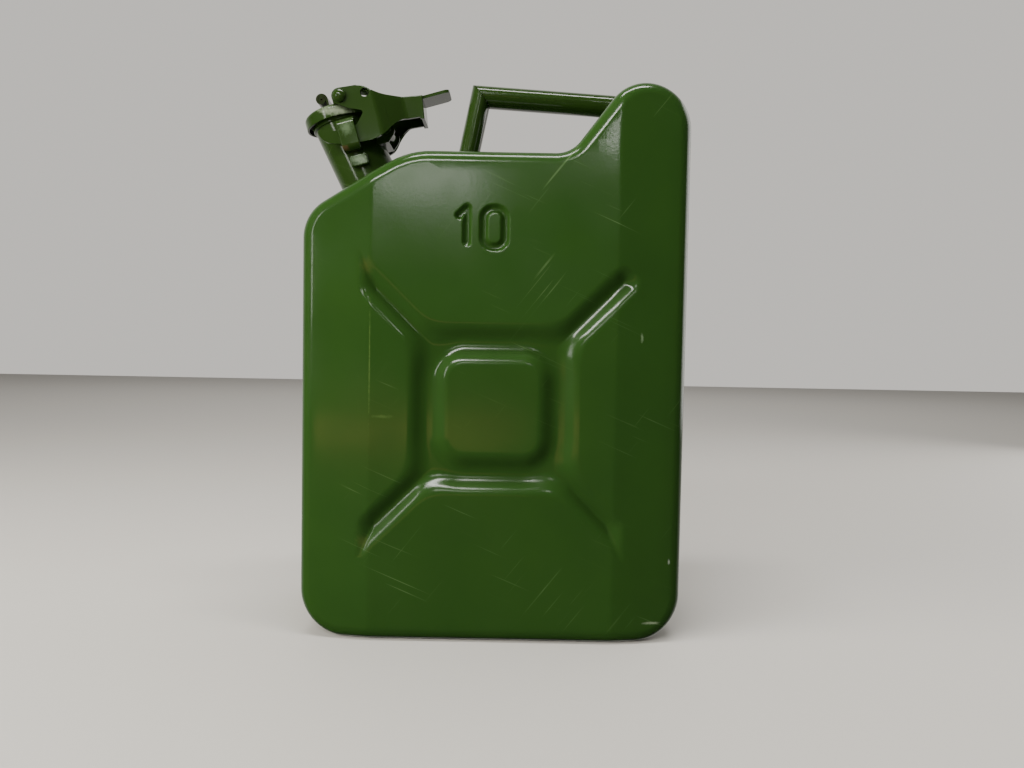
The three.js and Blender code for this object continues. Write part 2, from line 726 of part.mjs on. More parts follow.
// The breather pipe lets air from the rear lobe into the mouth while the can pours
function addVentTube() {
  const down = new THREE.Vector3(Math.sin(neckLean), 0, -Math.cos(neckLean));
  const back = new THREE.Vector3(Math.cos(neckLean), 0, Math.sin(neckLean));
  const lipCentre = new THREE.Vector3(neckOffset, 0, lipTop).applyMatrix4(mouth.matrixWorld);
  const onPipe = (distance) => lipCentre.clone().addScaledVector(down, distance).addScaledVector(back, ventOffset);
  const top = onPipe(8);
  const bend = onPipe(60);
  const knee = onPipe(60 + (bend.z - ventRunHeight) / Math.cos(neckLean));
  const runStart = new THREE.Vector3(-50, 0, ventRunHeight);
  const runEnd = new THREE.Vector3(62, 0, ventRunHeight);
  const riser = new THREE.Vector3(97, 0, ventRunHeight);
  const lobeEnd = new THREE.Vector3(97, 0, 352);
  const path = new THREE.CurvePath();
  path.add(new THREE.LineCurve3(top, bend));
  path.add(new THREE.QuadraticBezierCurve3(bend, knee, runStart));
  path.add(new THREE.LineCurve3(runStart, runEnd));
  path.add(new THREE.QuadraticBezierCurve3(runEnd, riser, lobeEnd));
  const section = new THREE.Shape();
  section.absarc(0, 0, ventRadius, 0, 2 * Math.PI);
  const hole = new THREE.Path();
  hole.absarc(0, 0, ventRadius - ventWall, 0, 2 * Math.PI);
  section.holes.push(hole);
  const pipe = new THREE.ExtrudeGeometry(section, { steps: 22, curveSegments: 4, extrudePath: path });
  place(jerryCan, 'vent_tube', solidOf(pipe), zincedSteel);
}

addShells();
addNeck();
addStraps();
addSpoutLugs();
addHinge();
addLid();
addBridge();
addBridgeRivets();
addLever();
addLeverRivets();
addHandle();
addVentTube();

// The origin is the middle of the footprint's box, on the surface that the can stands on
const bounds = new THREE.Box3().setFromObject(jerryCan, true);
jerryCan.position.set(-(bounds.min.x + bounds.max.x) / 2, 0, -bounds.min.z);
jerryCan.updateMatrixWorld(true);

export default jerryCan;
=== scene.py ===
# %% [markdown]
# # A ten litre steel jerry can
# The can is two pressed half shells on a sunken seam, with a leaning filler neck, a hinged lid that a
# hooked lever clamps down, and a handle of oval tube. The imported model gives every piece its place.
# Each piece is modelled here again in millimetres, with the soft edges, welds and wear of a used can.

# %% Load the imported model
import json
import math
import bpy
import numpy as np
from mathutils import Matrix, Vector, noise


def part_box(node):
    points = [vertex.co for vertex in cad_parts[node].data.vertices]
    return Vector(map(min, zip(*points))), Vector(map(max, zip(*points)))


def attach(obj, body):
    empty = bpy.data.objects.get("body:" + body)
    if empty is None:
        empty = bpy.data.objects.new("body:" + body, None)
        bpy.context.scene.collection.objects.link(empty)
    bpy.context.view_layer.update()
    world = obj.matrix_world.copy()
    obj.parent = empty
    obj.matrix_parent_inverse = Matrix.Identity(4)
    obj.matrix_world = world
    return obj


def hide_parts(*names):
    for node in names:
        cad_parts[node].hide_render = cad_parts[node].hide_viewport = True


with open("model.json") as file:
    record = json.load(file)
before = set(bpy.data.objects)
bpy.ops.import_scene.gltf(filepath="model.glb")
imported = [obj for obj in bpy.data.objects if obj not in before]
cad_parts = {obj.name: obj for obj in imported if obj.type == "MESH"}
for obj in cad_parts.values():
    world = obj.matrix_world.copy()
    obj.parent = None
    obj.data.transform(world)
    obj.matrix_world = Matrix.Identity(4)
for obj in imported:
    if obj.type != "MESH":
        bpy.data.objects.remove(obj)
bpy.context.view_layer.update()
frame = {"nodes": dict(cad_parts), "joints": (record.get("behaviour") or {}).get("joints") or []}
MM = 0.001
shell_low, shell_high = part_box("shell_near")
can_middle = (shell_low[0] + shell_high[0]) / 2
print("nodes", len(frame["nodes"]), "middle of the can at x", round(can_middle, 5))

# %% [markdown]
# ## Camera
# The photograph was taken with a short lens close to the can, at half its height, looking slightly down
# and a little rolled. The lens follows from how fast the handle and the spout shrink behind the face.

# %% Camera at the photograph's place
camera_data = bpy.data.cameras.new("camera")
camera = bpy.data.objects.new("camera", camera_data)
bpy.context.collection.objects.link(camera)
SENSOR, PHOTO_WIDTH, FOCAL_PIXELS = 36, 1024, 800
camera_data.sensor_width = SENSOR
camera_data.lens = FOCAL_PIXELS / PHOTO_WIDTH * SENSOR
camera_data.clip_start = 0.02
tilt_down, roll = math.radians(2.5), math.radians(1.05)
stand = Matrix.Translation((can_middle + 0.01256, -0.5885, 0.1945))
tilted = Matrix.Rotation(math.pi / 2 - tilt_down, 4, "X")
camera.matrix_world = stand @ tilted @ Matrix.Rotation(roll, 4, "Z")
bpy.context.scene.camera = camera
print("camera", [round(v, 4) for v in camera.matrix_world.translation])

# %% [markdown]
# ## Floor and light
# Long lamps high in front and overhead each draw one bright line along every rounded edge that faces up, and
# a small lamp at the side does so on edges that face left. A broad window on the left lights the left side
# most, and a weaker one on the right stands behind the face. Two small windows in front give the haze on the
# upper left of the face and beside the rise. A wooden bench low in front shows as a faint brown band, and a
# lamp behind the can evens out the floor. To the paint the room is dark in front and below and pale behind,
# so the face is deep green. To the camera it is pale all round.

# %% Colours and shader nodes
def linear(code):
    """An sRGB hex colour as the linear colour that shaders take."""
    parts = [int(code[i:i + 2], 16) / 255 for i in (1, 3, 5)]
    return [c / 12.92 if c <= 0.04045 else ((c + 0.055) / 1.055) ** 2.4 for c in parts] + [1.0]


def add(tree, kind, links=None, **settings):
    """Adds one shader node: links joins its inputs to outputs, settings set inputs or properties."""
    node = tree.nodes.new(kind)
    for name, value in settings.items():
        if hasattr(node, name):
            setattr(node, name, value)
        else:
            node.inputs[name.replace("_", " ")].default_value = value
    for name, output in (links or {}).items():
        tree.links.new(output, node.inputs[name])
    return node


BOARD_SEEN, BOARD_LIGHTING = linear("#c4c1bb"), linear("#8a8883")
print("white board as linear light", [round(c, 3) for c in BOARD_SEEN[:3]])


# %% Pale floor
def deselect():
    """Leaves edit mode and selects nothing."""
    if bpy.context.object and bpy.context.object.mode != "OBJECT":
        bpy.ops.object.mode_set(mode="OBJECT")
    bpy.ops.object.select_all(action="DESELECT")


deselect()
bpy.ops.mesh.primitive_plane_add(size=8, location=(0, 0, 0))
floor = bpy.context.object
floor.name = "floor"
floor_paint = bpy.data.materials.new("matt white board")
floor_paint.use_nodes = True
floor_tree = floor_paint.node_tree
floor_shader = floor_tree.nodes["Principled BSDF"]
# The face in the photo gets little light from below, so the board looks darker to the light that it sends on
light_path = add(floor_tree, "ShaderNodeLightPath")
board = add(floor_tree, "ShaderNodeMix", {0: light_path.outputs["Is Diffuse Ray"]}, data_type="RGBA")
board.inputs[6].default_value = BOARD_SEEN
board.inputs[7].default_value = BOARD_LIGHTING
floor_tree.links.new(board.outputs[2], floor_shader.inputs["Base Color"])
floor_shader.inputs["Roughness"].default_value = 0.7
floor.data.materials.append(floor_paint)
# The board in the photo hardly mirrors in the face, so it lights the can but shows in no reflection
floor.visible_glossy = False
print("floor", tuple(round(v, 2) for v in floor.dimensions))

# %% Soft studio light
def soft_light(name, place, aim, size, watts, tint):
    """An oblong area light at place that faces aim."""
    data = bpy.data.lights.new(name, "AREA")
    data.shape, data.size, data.size_y = "RECTANGLE", size[0], size[1]
    data.energy, data.color = watts, tint
    lamp = bpy.data.objects.new(name, data)
    bpy.context.collection.objects.link(lamp)
    facing = (Vector(aim) - Vector(place)).to_track_quat("-Z", "Y")
    lamp.matrix_world = Matrix.Translation(place) @ facing.to_matrix().to_4x4()
    return lamp


WARM_WHITE, DAYLIGHT, WOOD_BROWN = (1.0, 0.98, 0.95), (1.0, 0.96, 0.86), (1.0, 0.55, 0.22)
BODY, UPPER_FACE, LOWER_FACE = (0, 0, 0.2), (0, 0, 0.3), (0, 0, 0.13)
soft_light("front_lamp", (-0.42, -1.15, 1.05), BODY, (0.75, 0.14), 12, WARM_WHITE)
soft_light("overhead_lamp", (0, -0.28, 1.6), BODY, (1.0, 0.2), 20, WARM_WHITE)
left_window = soft_light("left_window", (-1.15, -0.65, 0.5), BODY, (1.0, 1.2), 28, DAYLIGHT)
left_window.visible_glossy = False
soft_light("right_window", (1.25, 0.55, 0.6), BODY, (1.0, 1.2), 9, WARM_WHITE)
soft_light("side_lamp", (-0.95, -0.95, 0.5), BODY, (0.12, 0.5), 1.9, WARM_WHITE)
soft_light("front_window", (-0.18, -1.3, 0.575), UPPER_FACE, (0.25, 0.11), 0.8, WARM_WHITE)
soft_light("narrow_window", (0.24, -1.3, 0.7), UPPER_FACE, (0.07, 0.12), 0.4, WARM_WHITE)
back_lamp = soft_light("back_lamp", (0, 2.2, 2.0), (0, 2.2, 0), (4, 1.5), 30, WARM_WHITE)
back_lamp.visible_glossy = False
bench = soft_light("wooden_bench", (-0.34, -1.05, 0.03), LOWER_FACE, (0.8, 0.06), 0.24, WOOD_BROWN)
bench.visible_diffuse = False
world = bpy.data.worlds.new("pale room")
bpy.context.scene.world = world
world.use_nodes = True
room = world.node_tree
facing = add(room, "ShaderNodeSeparateXYZ", {0: add(room, "ShaderNodeTexCoord").outputs["Generated"]})
behind = add(room, "ShaderNodeMapRange", {"Value": facing.outputs["Y"]}, From_Min=0.1, From_Max=0.7)
above = add(room, "ShaderNodeMapRange", {"Value": facing.outputs["Z"]}, From_Min=-0.75, From_Max=-0.5)
pale = add(room, "ShaderNodeMath", {0: behind.outputs[0], 1: above.outputs[0]}, operation="MULTIPLY")
seen = add(room, "ShaderNodeLightPath").outputs["Is Camera Ray"]
shown = add(room, "ShaderNodeMath", {0: pale.outputs[0], 1: seen}, operation="MAXIMUM")
walls = add(room, "ShaderNodeMix", {0: shown.outputs[0]}, data_type="RGBA")
walls.inputs[6].default_value = linear("#2c2b29")
walls.inputs[7].default_value = linear("#bcb9b4")
room.links.new(walls.outputs[2], room.nodes["Background"].inputs["Color"])
room.nodes["Background"].inputs["Strength"].default_value = 1.4

# %% [markdown]
# ## Finishes
# The can is sprayed inside and out with a stoving enamel: a hard glossy paint with a faint orange peel.
# It shows fine scratches, small chips down to the grey primer, worn places and rust. Pale and dark patches in
# a few places are painted highlights and painted shade. The seal is black rubber, and the breather pipe is
# zinc plated steel.

# %% Worn marks, painted highlights and painted shade, and scratches
def new_finish(name):
    """A new material with its node tree and its shader."""
    finish = bpy.data.materials.new(name)
    finish.use_nodes = True
    tree = finish.node_tree
    return finish, tree, tree.nodes["Principled BSDF"]


def lay_over(tree, colour, cover, code):
    """Lays a second colour over the first where cover is 1."""
    mixed = add(tree, "ShaderNodeMix", {0: cover, 6: colour}, data_type="RGBA")
    mixed.inputs[7].default_value = linear(code)
    return mixed.outputs[2]


# A pattern's scale is how often it repeats in a metre: 600 gives grains of about 1.7 mm
GRAIN, RAGGEDNESS = 600.0, 1.4


def mark(tree, place, colour, middle, reach, code):
    """A ragged patch of another colour on the paint, for wear and rust and for painted highlights and painted
    shade: its middle and half sizes, in millimetres in the shared frame.
    """
    off = add(tree, "ShaderNodeVectorMath", {0: place}, operation="SUBTRACT")
    off.inputs[1].default_value = [v * MM for v in middle]
    share = add(tree, "ShaderNodeVectorMath", {0: off.outputs[0]}, operation="DIVIDE")
    share.inputs[1].default_value = [v * MM for v in reach]
    away = add(tree, "ShaderNodeVectorMath", {0: share.outputs[0]}, operation="LENGTH")
    ragged = add(tree, "ShaderNodeTexNoise", {"Vector": place}, Scale=GRAIN, Detail=4.0)
    summed = {0: ragged.outputs[0], 2: away.outputs["Value"]}
    edge = add(tree, "ShaderNodeMath", summed, operation="MULTIPLY_ADD")
    edge.inputs[1].default_value = RAGGEDNESS
    fade = {"From_Min": 0.9, "From_Max": 1.8, "To_Min": 0.9, "To_Max": 0.0}
    cover = add(tree, "ShaderNodeMapRange", {"Value": edge.outputs[0]}, **fade)
    return lay_over(tree, colour, cover.outputs[0], code)


# Noise is drawn out to streaks of 50 by 1.2 mm, and only their crests show as hairlines
STREAK = (0.05, 0.05, 0.0012)


def hairlines(tree, place, turn):
    """Cover of fine straight scratches in one direction: about 0.3 mm wide and up to 40 mm long."""
    stretch = {"vector_type": "TEXTURE", "Rotation": (0, turn, 0), "Scale": STREAK}
    along = add(tree, "ShaderNodeMapping", {"Vector": place}, **stretch)
    streak = add(tree, "ShaderNodeTexNoise", {"Vector": along.outputs[0]}, Scale=1.0, Detail=0.0)
    crests = {"From_Min": 0.77, "From_Max": 0.87, "To_Max": 0.35}
    return add(tree, "ShaderNodeMapRange", {"Value": streak.outputs[0]}, **crests).outputs[0]


print("streaks for the scratches, in metres", STREAK)

# %% Glossy green enamel
# Clouds of about 60 mm, scuffed patches of 45 mm, dents of 36 mm and a place for a chip every 8 mm
CLOUDS, PATCHES, DENTS, CHIPS = 16.0, 22.0, 28.0, 130.0


def green_enamel(name, chip_share, marks=(), tones=("#233e17", "#2a481a"), roughest=0.22):
    """Enamel in two close greens with scratches, chips and marks (middle, half sizes, colour) of wear, rust,
    painted highlight and painted shade.
    """
    finish, tree, shader = new_finish(name)
    place = add(tree, "ShaderNodeTexCoord").outputs["Object"]
    # The thickness of the paint changes slowly, and so does its green
    cloud = add(tree, "ShaderNodeTexNoise", {"Vector": place}, Scale=CLOUDS, Detail=3.0)
    paint = add(tree, "ShaderNodeMix", {0: cloud.outputs[0]}, data_type="RGBA")
    paint.inputs[6].default_value = linear(tones[0])
    paint.inputs[7].default_value = linear(tones[1])
    spread = add(tree, "ShaderNodeTexNoise", {"Vector": place}, Scale=PATCHES, Detail=2.0)
    where = add(tree, "ShaderNodeMapRange", {"Value": spread.outputs[0]}, From_Min=0.5, From_Max=0.66)
    strokes = [hairlines(tree, place, turn) for turn in (0.4, -0.9)]
    hair = add(tree, "ShaderNodeMath", {0: strokes[0], 1: strokes[1]}, operation="MAXIMUM")
    scratch = add(tree, "ShaderNodeMath", {0: hair.outputs[0], 1: where.outputs[0]}, operation="MULTIPLY")
    colour = lay_over(tree, paint.outputs[2], scratch.outputs[0], "#6d8a58")
    # Chips are flakes of up to 2 mm that show the pale primer
    flake = add(tree, "ShaderNodeTexVoronoi", {"Vector": place}, Scale=CHIPS)
    rare = add(tree, "ShaderNodeSeparateColor", {0: flake.outputs["Color"]})
    chosen = add(tree, "ShaderNodeMath", {0: rare.outputs[0]}, operation="GREATER_THAN")
    chosen.inputs[1].default_value = 1 - chip_share
    flake_rim = {"From_Min": 0.1, "From_Max": 0.17, "To_Min": 1.0, "To_Max": 0.0}
    small = add(tree, "ShaderNodeMapRange", {"Value": flake.outputs["Distance"]}, **flake_rim)
    chip = add(tree, "ShaderNodeMath", {0: chosen.outputs[0], 1: small.outputs[0]}, operation="MULTIPLY")
    colour = lay_over(tree, colour, chip.outputs[0], "#b9bdb0")
    for middle, reach, code in marks:
        colour = mark(tree, place, colour, middle, reach, code)
    tree.links.new(colour, shader.inputs["Base Color"])
    rubbing = {"From_Min": 0.3, "From_Max": 0.75, "To_Min": roughest / 2, "To_Max": roughest}
    dull = add(tree, "ShaderNodeMapRange", {"Value": spread.outputs[0]}, **rubbing)
    tree.links.new(dull.outputs[0], shader.inputs["Roughness"])
    # Orange peel has waves of about 1.7 mm, some hundredths of a millimetre high
    peel = add(tree, "ShaderNodeTexNoise", {"Vector": place}, Scale=GRAIN, Detail=1.0)
    dent = add(tree, "ShaderNodeTexNoise", {"Vector": place}, Scale=DENTS, Detail=1.0)
    wavy = add(tree, "ShaderNodeBump", {"Height": dent.outputs[0]}, Strength=0.2, Distance=0.0006)
    over_dents = {"Height": peel.outputs[0], "Normal": wavy.outputs[0]}
    skin = add(tree, "ShaderNodeBump", over_dents, Strength=0.1, Distance=0.0002)
    tree.links.new(skin.outputs[0], shader.inputs["Normal"])
    shader.inputs["IOR"].default_value = 1.52
    shader.inputs["Specular IOR Level"].default_value = 0.34
    return finish


# Handled pieces have a smoother enamel with fewer chips, and greens darker than the halves' as painted shade
HANDLED_AND_SHADED = {"chip_share": 0.006, "tones": ("#1f3311", "#263b15"), "roughest": 0.18}
shaded_worn_enamel = green_enamel("stoved green enamel, handled", **HANDLED_AND_SHADED)
print("paint", shaded_worn_enamel.name)

# %% Worn cut edges of the lever, with a painted highlight
# Cut edges of sheet keep little paint: the grey primer and unpainted steel show through, dull and pale. The
# pale tone also stands for a painted highlight where the edges catch the light.
cut_edge_wear_and_highlight, edge_tree, edge_shader = new_finish("worn primer on cut steel")
edge_place = add(edge_tree, "ShaderNodeTexCoord").outputs["Object"]
edge_wear_and_highlight = add(edge_tree, "ShaderNodeTexNoise", {"Vector": edge_place}, Scale=350.0, Detail=4.0)
bare_and_highlit = add(edge_tree, "ShaderNodeMapRange", {"Value": edge_wear_and_highlight.outputs[0]}, From_Min=0.35, From_Max=0.6)
edge_tone = add(edge_tree, "ShaderNodeMix", {0: bare_and_highlit.outputs[0]}, data_type="RGBA")
edge_tone.inputs[6].default_value = linear("#7d8770")
edge_tone.inputs[7].default_value = linear("#cfcdc3")
edge_tree.links.new(edge_tone.outputs[2], edge_shader.inputs["Base Color"])
edge_shader.inputs["Roughness"].default_value = 0.4
print("edges", cut_edge_wear_and_highlight.name)

# %% Rubber and zinc plate
rubber, rubber_tree, rubber_shader = new_finish("moulded black rubber")
rubber_place = add(rubber_tree, "ShaderNodeTexCoord").outputs["Object"]
bloom = add(rubber_tree, "ShaderNodeTexNoise", {"Vector": rubber_place}, Scale=250.0, Detail=3.0)
rubber_tone = add(rubber_tree, "ShaderNodeMix", {0: bloom.outputs[0]}, data_type="RGBA")
rubber_tone.inputs[6].default_value = linear("#141414")
rubber_tone.inputs[7].default_value = linear("#2a2927")
rubber_tree.links.new(rubber_tone.outputs[2], rubber_shader.inputs["Base Color"])
rubber_shader.inputs["Roughness"].default_value = 0.75
zinc, zinc_tree, zinc_shader = new_finish("dull zinc plate")
zinc_place = add(zinc_tree, "ShaderNodeTexCoord").outputs["Object"]
spangle = add(zinc_tree, "ShaderNodeTexVoronoi", {"Vector": zinc_place}, Scale=300.0)
crystal = {"Value": spangle.outputs["Distance"]}
zinc_dull = add(zinc_tree, "ShaderNodeMapRange", crystal, To_Min=0.35, To_Max=0.55)
zinc_tree.links.new(zinc_dull.outputs[0], zinc_shader.inputs["Roughness"])
zinc_shader.inputs["Base Color"].default_value = linear("#a3a5a1")
zinc_shader.inputs["Metallic"].default_value = 1.0
print("other finishes", rubber.name, "and", zinc.name)

# %% [markdown]
# ## Tools for sheet metal
# Most pieces are sheet cut to an outline, strip bent along a line, or a turned profile. All three start
# from a ring of points: a circle whose points are moved to the outline. It is then extruded or spun.

# %% Outlines
def rounded(corners, step=6.0, closed=True):
    """Points of an outline through corners (x, z, radius), with an arc of short steps at each corner."""
    points = []
    for i, (x, z, radius) in enumerate(corners):
        here = Vector((x, z))
        if radius == 0 or (not closed and i in (0, len(corners) - 1)):
            points.append((x, z))
            continue
        arriving = (here - Vector(corners[i - 1][:2])).normalized()
        leaving = (Vector(corners[(i + 1) % len(corners)][:2]) - here).normalized()
        turn = math.atan2(arriving.cross(leaving), arriving.dot(leaving))
        begin = here - arriving * radius * math.tan(abs(turn) / 2)
        middle = begin + Vector((-arriving.y, arriving.x)) * math.copysign(radius, turn)
        count = max(2, math.ceil(abs(math.degrees(turn)) / step))
        for k in range(count + 1):
            points.append(tuple(middle + Matrix.Rotation(turn * k / count, 2) @ (begin - middle)))
    return points


def swing(middle, radius, start, end, step=8.0):
    """Points of an arc from one angle to another, in degrees."""
    count = max(2, math.ceil(abs(end - start) / step))
    angles = [math.radians(start + (end - start) * k / count) for k in range(count + 1)]
    return [(middle[0] + radius * math.cos(a), middle[1] + radius * math.sin(a)) for a in angles]


def curve(begin, pull, end, count=10):
    """Points of a curve that leaves begin towards pull and arrives at end from it. Begin is left out."""
    points = []
    for t in [k / count for k in range(1, count + 1)]:
        first, second, third = (1 - t) ** 2, 2 * t * (1 - t), t * t
        points.append(tuple(first * a + second * b + third * c for a, b, c in zip(begin, pull, end)))
    return points


def strip(path, thickness):
    """Outline of a bent strip of sheet whose middle follows path."""
    line = [Vector(p) for p in path]
    sides = []
    for i, point in enumerate(line):
        along = (line[min(i + 1, len(line) - 1)] - line[max(i - 1, 0)]).normalized()
        sides.append(Vector((-along.y, along.x)) * thickness / 2)
    there = [tuple(p - s) for p, s in zip(line, sides)]
    back = [tuple(p + s) for p, s in zip(line, sides)]
    return there + back[::-1]


print("points of a rounded square", len(rounded([(0, 0, 1), (9, 0, 1), (9, 9, 1), (0, 9, 1)])))

# %% Cutting and turning
LARGE_ROUND, SMALL_ROUND = 96, 40


def ring_of(name, points):
    """A filled ring of points in space, ready to extrude."""
    deselect()
    bpy.ops.mesh.primitive_circle_add(vertices=len(points), fill_type="NGON")
    piece = bpy.context.object
    piece.name = piece.data.name = name
    for vertex, point in zip(piece.data.vertices, points):
        vertex.co = point
    return piece


def edit_all():
    """Goes to edit mode with every point selected."""
    bpy.ops.object.mode_set(mode="EDIT")
    bpy.ops.mesh.select_mode(type="VERT")
    bpy.ops.mesh.select_all(action="SELECT")


def face_outwards():
    """Lets every face point outwards and leaves edit mode."""
    bpy.ops.mesh.select_all(action="SELECT")
    bpy.ops.mesh.normals_make_consistent(inside=False)
    bpy.ops.object.mode_set(mode="OBJECT")


def sheet(name, points, low, high):
    """Sheet cut to an outline in X and Z, from low to high along Y."""
    piece = ring_of(name, [(x, low, z) for x, z in points])
    edit_all()
    bpy.ops.mesh.extrude_region_move(TRANSFORM_OT_translate={"value": (0, high - low, 0)})
    face_outwards()
    return piece


def turned(name, profile, steps, turn=Matrix()):
    """A closed profile of radius and height spun about Z, then set by turn."""
    piece = ring_of(name, [(r, 0, h) for r, h in profile])
    edit_all()
    bpy.ops.mesh.delete(type="ONLY_FACE")
    bpy.ops.mesh.select_all(action="SELECT")
    bpy.ops.mesh.spin(steps=steps, angle=2 * math.pi, center=(0, 0, 0), axis=(0, 0, 1))
    bpy.ops.mesh.select_all(action="SELECT")
    bpy.ops.mesh.remove_doubles(threshold=0.001)
    bpy.ops.mesh.dissolve_degenerate(threshold=0.0005)
    bpy.ops.mesh.delete_loose(use_verts=True, use_edges=True, use_faces=False)
    face_outwards()
    piece.data.transform(turn)
    return piece


print("steps of a turned piece", LARGE_ROUND, "or", SMALL_ROUND)

# %% Soft edges, joined pieces and holes
SHARP_DEGREES = 32


def modify(piece, kind, **settings):
    """Adds one modifier and applies it."""
    bpy.context.view_layer.objects.active = piece
    modifier = piece.modifiers.new(kind.lower(), kind)
    for name, value in settings.items():
        setattr(modifier, name, value)
    bpy.ops.object.modifier_apply(modifier=modifier.name)


def soften(piece, width, segments=3):
    """Rounds the sharp edges, as stamping and paint do."""
    sharp = {"limit_method": "ANGLE", "angle_limit": math.radians(SHARP_DEGREES)}
    modify(piece, "BEVEL", width=width, segments=segments, use_clamp_overlap=True, **sharp)


def join(name, pieces):
    """Makes one piece of several."""
    deselect()
    for piece in pieces:
        piece.select_set(True)
    bpy.context.view_layer.objects.active = pieces[0]
    bpy.ops.object.join()
    pieces[0].name = pieces[0].data.name = name
    return pieces[0]


def drill(piece, tool):
    """Cuts a tool's shape out of a piece and throws the tool away."""
    modify(piece, "BOOLEAN", operation="DIFFERENCE", solver="EXACT", object=tool)
    bpy.data.objects.remove(tool)


print("edges that turn by more than", SHARP_DEGREES, "degrees are rounded")

# %% Frames of the can and of its mouth
MOUTH = Matrix.Translation((can_middle - 0.1144, 0, 0.3542)) @ Matrix.Rotation(math.radians(-16), 4, "Y")
CAN = Matrix.Translation((can_middle, 0, 0))
NECK_X, NECK_RADIUS, LIP_TOP = 1.2, 21, 2
lip_middle = CAN.inverted() @ MOUTH @ Vector((NECK_X * MM, 0, LIP_TOP * MM)) / MM


def at_mouth(x, y, z):
    """A place in the frame of the mouth as one in the shared frame, both in millimetres."""
    return MOUTH @ (Vector((x, y, z)) * MM) / MM


def joint_place(name):
    """Where the axis of a joint crosses the middle plane, in millimetres in the frame of the mouth."""
    joint = next(j for j in frame["joints"] if j["name"] == name)
    place = MOUTH.inverted() @ Vector(joint["pos_m"]) / MM
    return place.x, place.z


HINGE = joint_place("lid_hinge")
PIVOT = joint_place("lever_pivot")


def fit(piece, frame_of, body, node, *finishes, slot="green_enamel", smooth=35):
    """Sets a piece modelled in millimetres in its frame, gives it its finish and lets it ride its body."""
    deselect()
    piece.select_set(True)
    bpy.context.view_layer.objects.active = piece
    piece.matrix_world = frame_of @ Matrix.Scale(MM, 4)
    bpy.ops.object.transform_apply(location=True, rotation=True, scale=True)
    bpy.ops.object.shade_smooth_by_angle(angle=math.radians(smooth))
    modify(piece, "WEIGHTED_NORMAL", keep_sharp=True)
    for finish in finishes:
        piece.data.materials.append(finish)
    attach(piece, body)
    if node:
        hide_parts(node)
    size = tuple(round(v / MM, 1) for v in piece.dimensions)
    print(piece.name, len(piece.data.polygons), "faces", size, "mm")


print("hinge at", [round(v, 2) for v in HINGE], "and rivet at", [round(v, 2) for v in PIVOT])

# %% [markdown]
# ## The pressed halves
# Each half is drawn from one sheet: a rounded edge, a face that is flat in the middle and falls back past
# two soft creases, a cross pressing that stiffens it, and a sunken rim where the halves are welded.
# The outline is extruded and its edge bevelled, as by hand. The window with the pressing is then divided
# finely, and its points are pushed in by the depth that the pressing has there.

# %% Side outline
HALF_LENGTH, SHOULDER, DECK = 128, 282, 323
SLOPE, RISE, RISE_START = math.radians(30), math.radians(53), 48.4
PEAK = DECK + (HALF_LENGTH - RISE_START) * math.tan(RISE)
SLOPE_END = -HALF_LENGTH + (DECK - SHOULDER) / math.tan(SLOPE)
can_corners = [
    (-HALF_LENGTH, 0, 31),
    (HALF_LENGTH, 0, 31),
    (HALF_LENGTH, PEAK, 29.5),
    (RISE_START, DECK, 20),
    (SLOPE_END, DECK, 55),
    (-HALF_LENGTH, SHOULDER, 28),
]
can_outline = rounded(can_corners, step=5)
print("outline points", len(can_outline))


# %% Distances and soft bends
def soft_above(value, bend):
    """The part of a value above nought, with a soft bend of that half width at the start."""
    return np.where(value > bend, value, np.where(value < -bend, 0, (value + bend) ** 2 / (4 * bend)))


def soft_least(first, second, bend):
    """The lesser of two values, with a soft bend where they cross."""
    share = np.clip(0.5 + (second - first) / (2 * bend), 0, 1)
    return second + (first - second) * share - bend * share * (1 - share)


def to_segment(x, z, ax, az, bx, bz):
    """Distance of points from a straight stroke."""
    t = np.clip(((x - ax) * (bx - ax) + (z - az) * (bz - az)) / ((bx - ax) ** 2 + (bz - az) ** 2), 0, 1)
    return np.hypot(x - ax - t * (bx - ax), z - az - t * (bz - az))


def past_frame(x, z, half_x, half_z, radius):
    """How far points lie outside a rounded frame about the middle, or inside it if negative."""
    qx, qz = np.abs(x) - half_x + radius, np.abs(z) - half_z + radius
    return np.hypot(np.maximum(qx, 0), np.maximum(qz, 0)) + np.minimum(np.maximum(qx, qz), 0) - radius


print("a soft bend of half width 1 is", float(soft_above(0.0, 1.0)), "high at nought")

# %% Depths of the pressing
FACE, FALL, CREASE, CREASE_BEND = 67.5, 7, 80.5, 1.5
CROSS_X, CROSS_Z, RING_HALF, RING_CORNER = 0.5, 155, 42.8, 24
GROOVE_DEPTH, GROOVE_RIM, WALL_SLOPE = 5.0, 11.2, 0.62
ARM_START, ARM_NARROWER, ARM_BLEND, RUN_OUT = 36, 3, 18, 9
# An arm goes right or left (1 or -1) and up or down, as far as its tip, and its floor runs out at its end
ARMS = ((-1, 1, 110, 87), (1, 1, 84, 130), (-1, -1, 110, 87), (1, -1, 110, 85))


def face_reach(x):
    """How far the face stands from the seam: flat in the middle, falling back past two creases."""
    return FACE - FALL * soft_above(np.abs(x) - CREASE, CREASE_BEND) / (HALF_LENGTH - CREASE)


def cross_depth(x, z):
    """Depth of the cross: a ring round an island, with narrow arms. One has a round end, three run out."""
    x, z = x - CROSS_X, z - CROSS_Z
    past = past_frame(x, z, RING_HALF, RING_HALF, RING_CORNER)
    outer, floor = past, np.full_like(past, GROOVE_DEPTH)
    for right, top, tip, end in ARMS:
        arm = to_segment(x, z, right * ARM_START, top * ARM_START, right * tip, top * tip) + ARM_NARROWER
        outer = soft_least(arm, outer, ARM_BLEND)
        floor = np.where(top * z > 0, np.minimum(floor, (end - right * x) * GROOVE_DEPTH / RUN_OUT), floor)
    walls = soft_least(GROOVE_RIM - outer, GROOVE_RIM + past, 1) * WALL_SLOPE
    return soft_above(soft_least(walls, floor, 2.0), 1.9)


ring_depth = cross_depth(np.array([CROSS_X + RING_HALF]), np.array([float(CROSS_Z)]))[0]
print("depth of the ring", ring_depth.round(2), "mm")

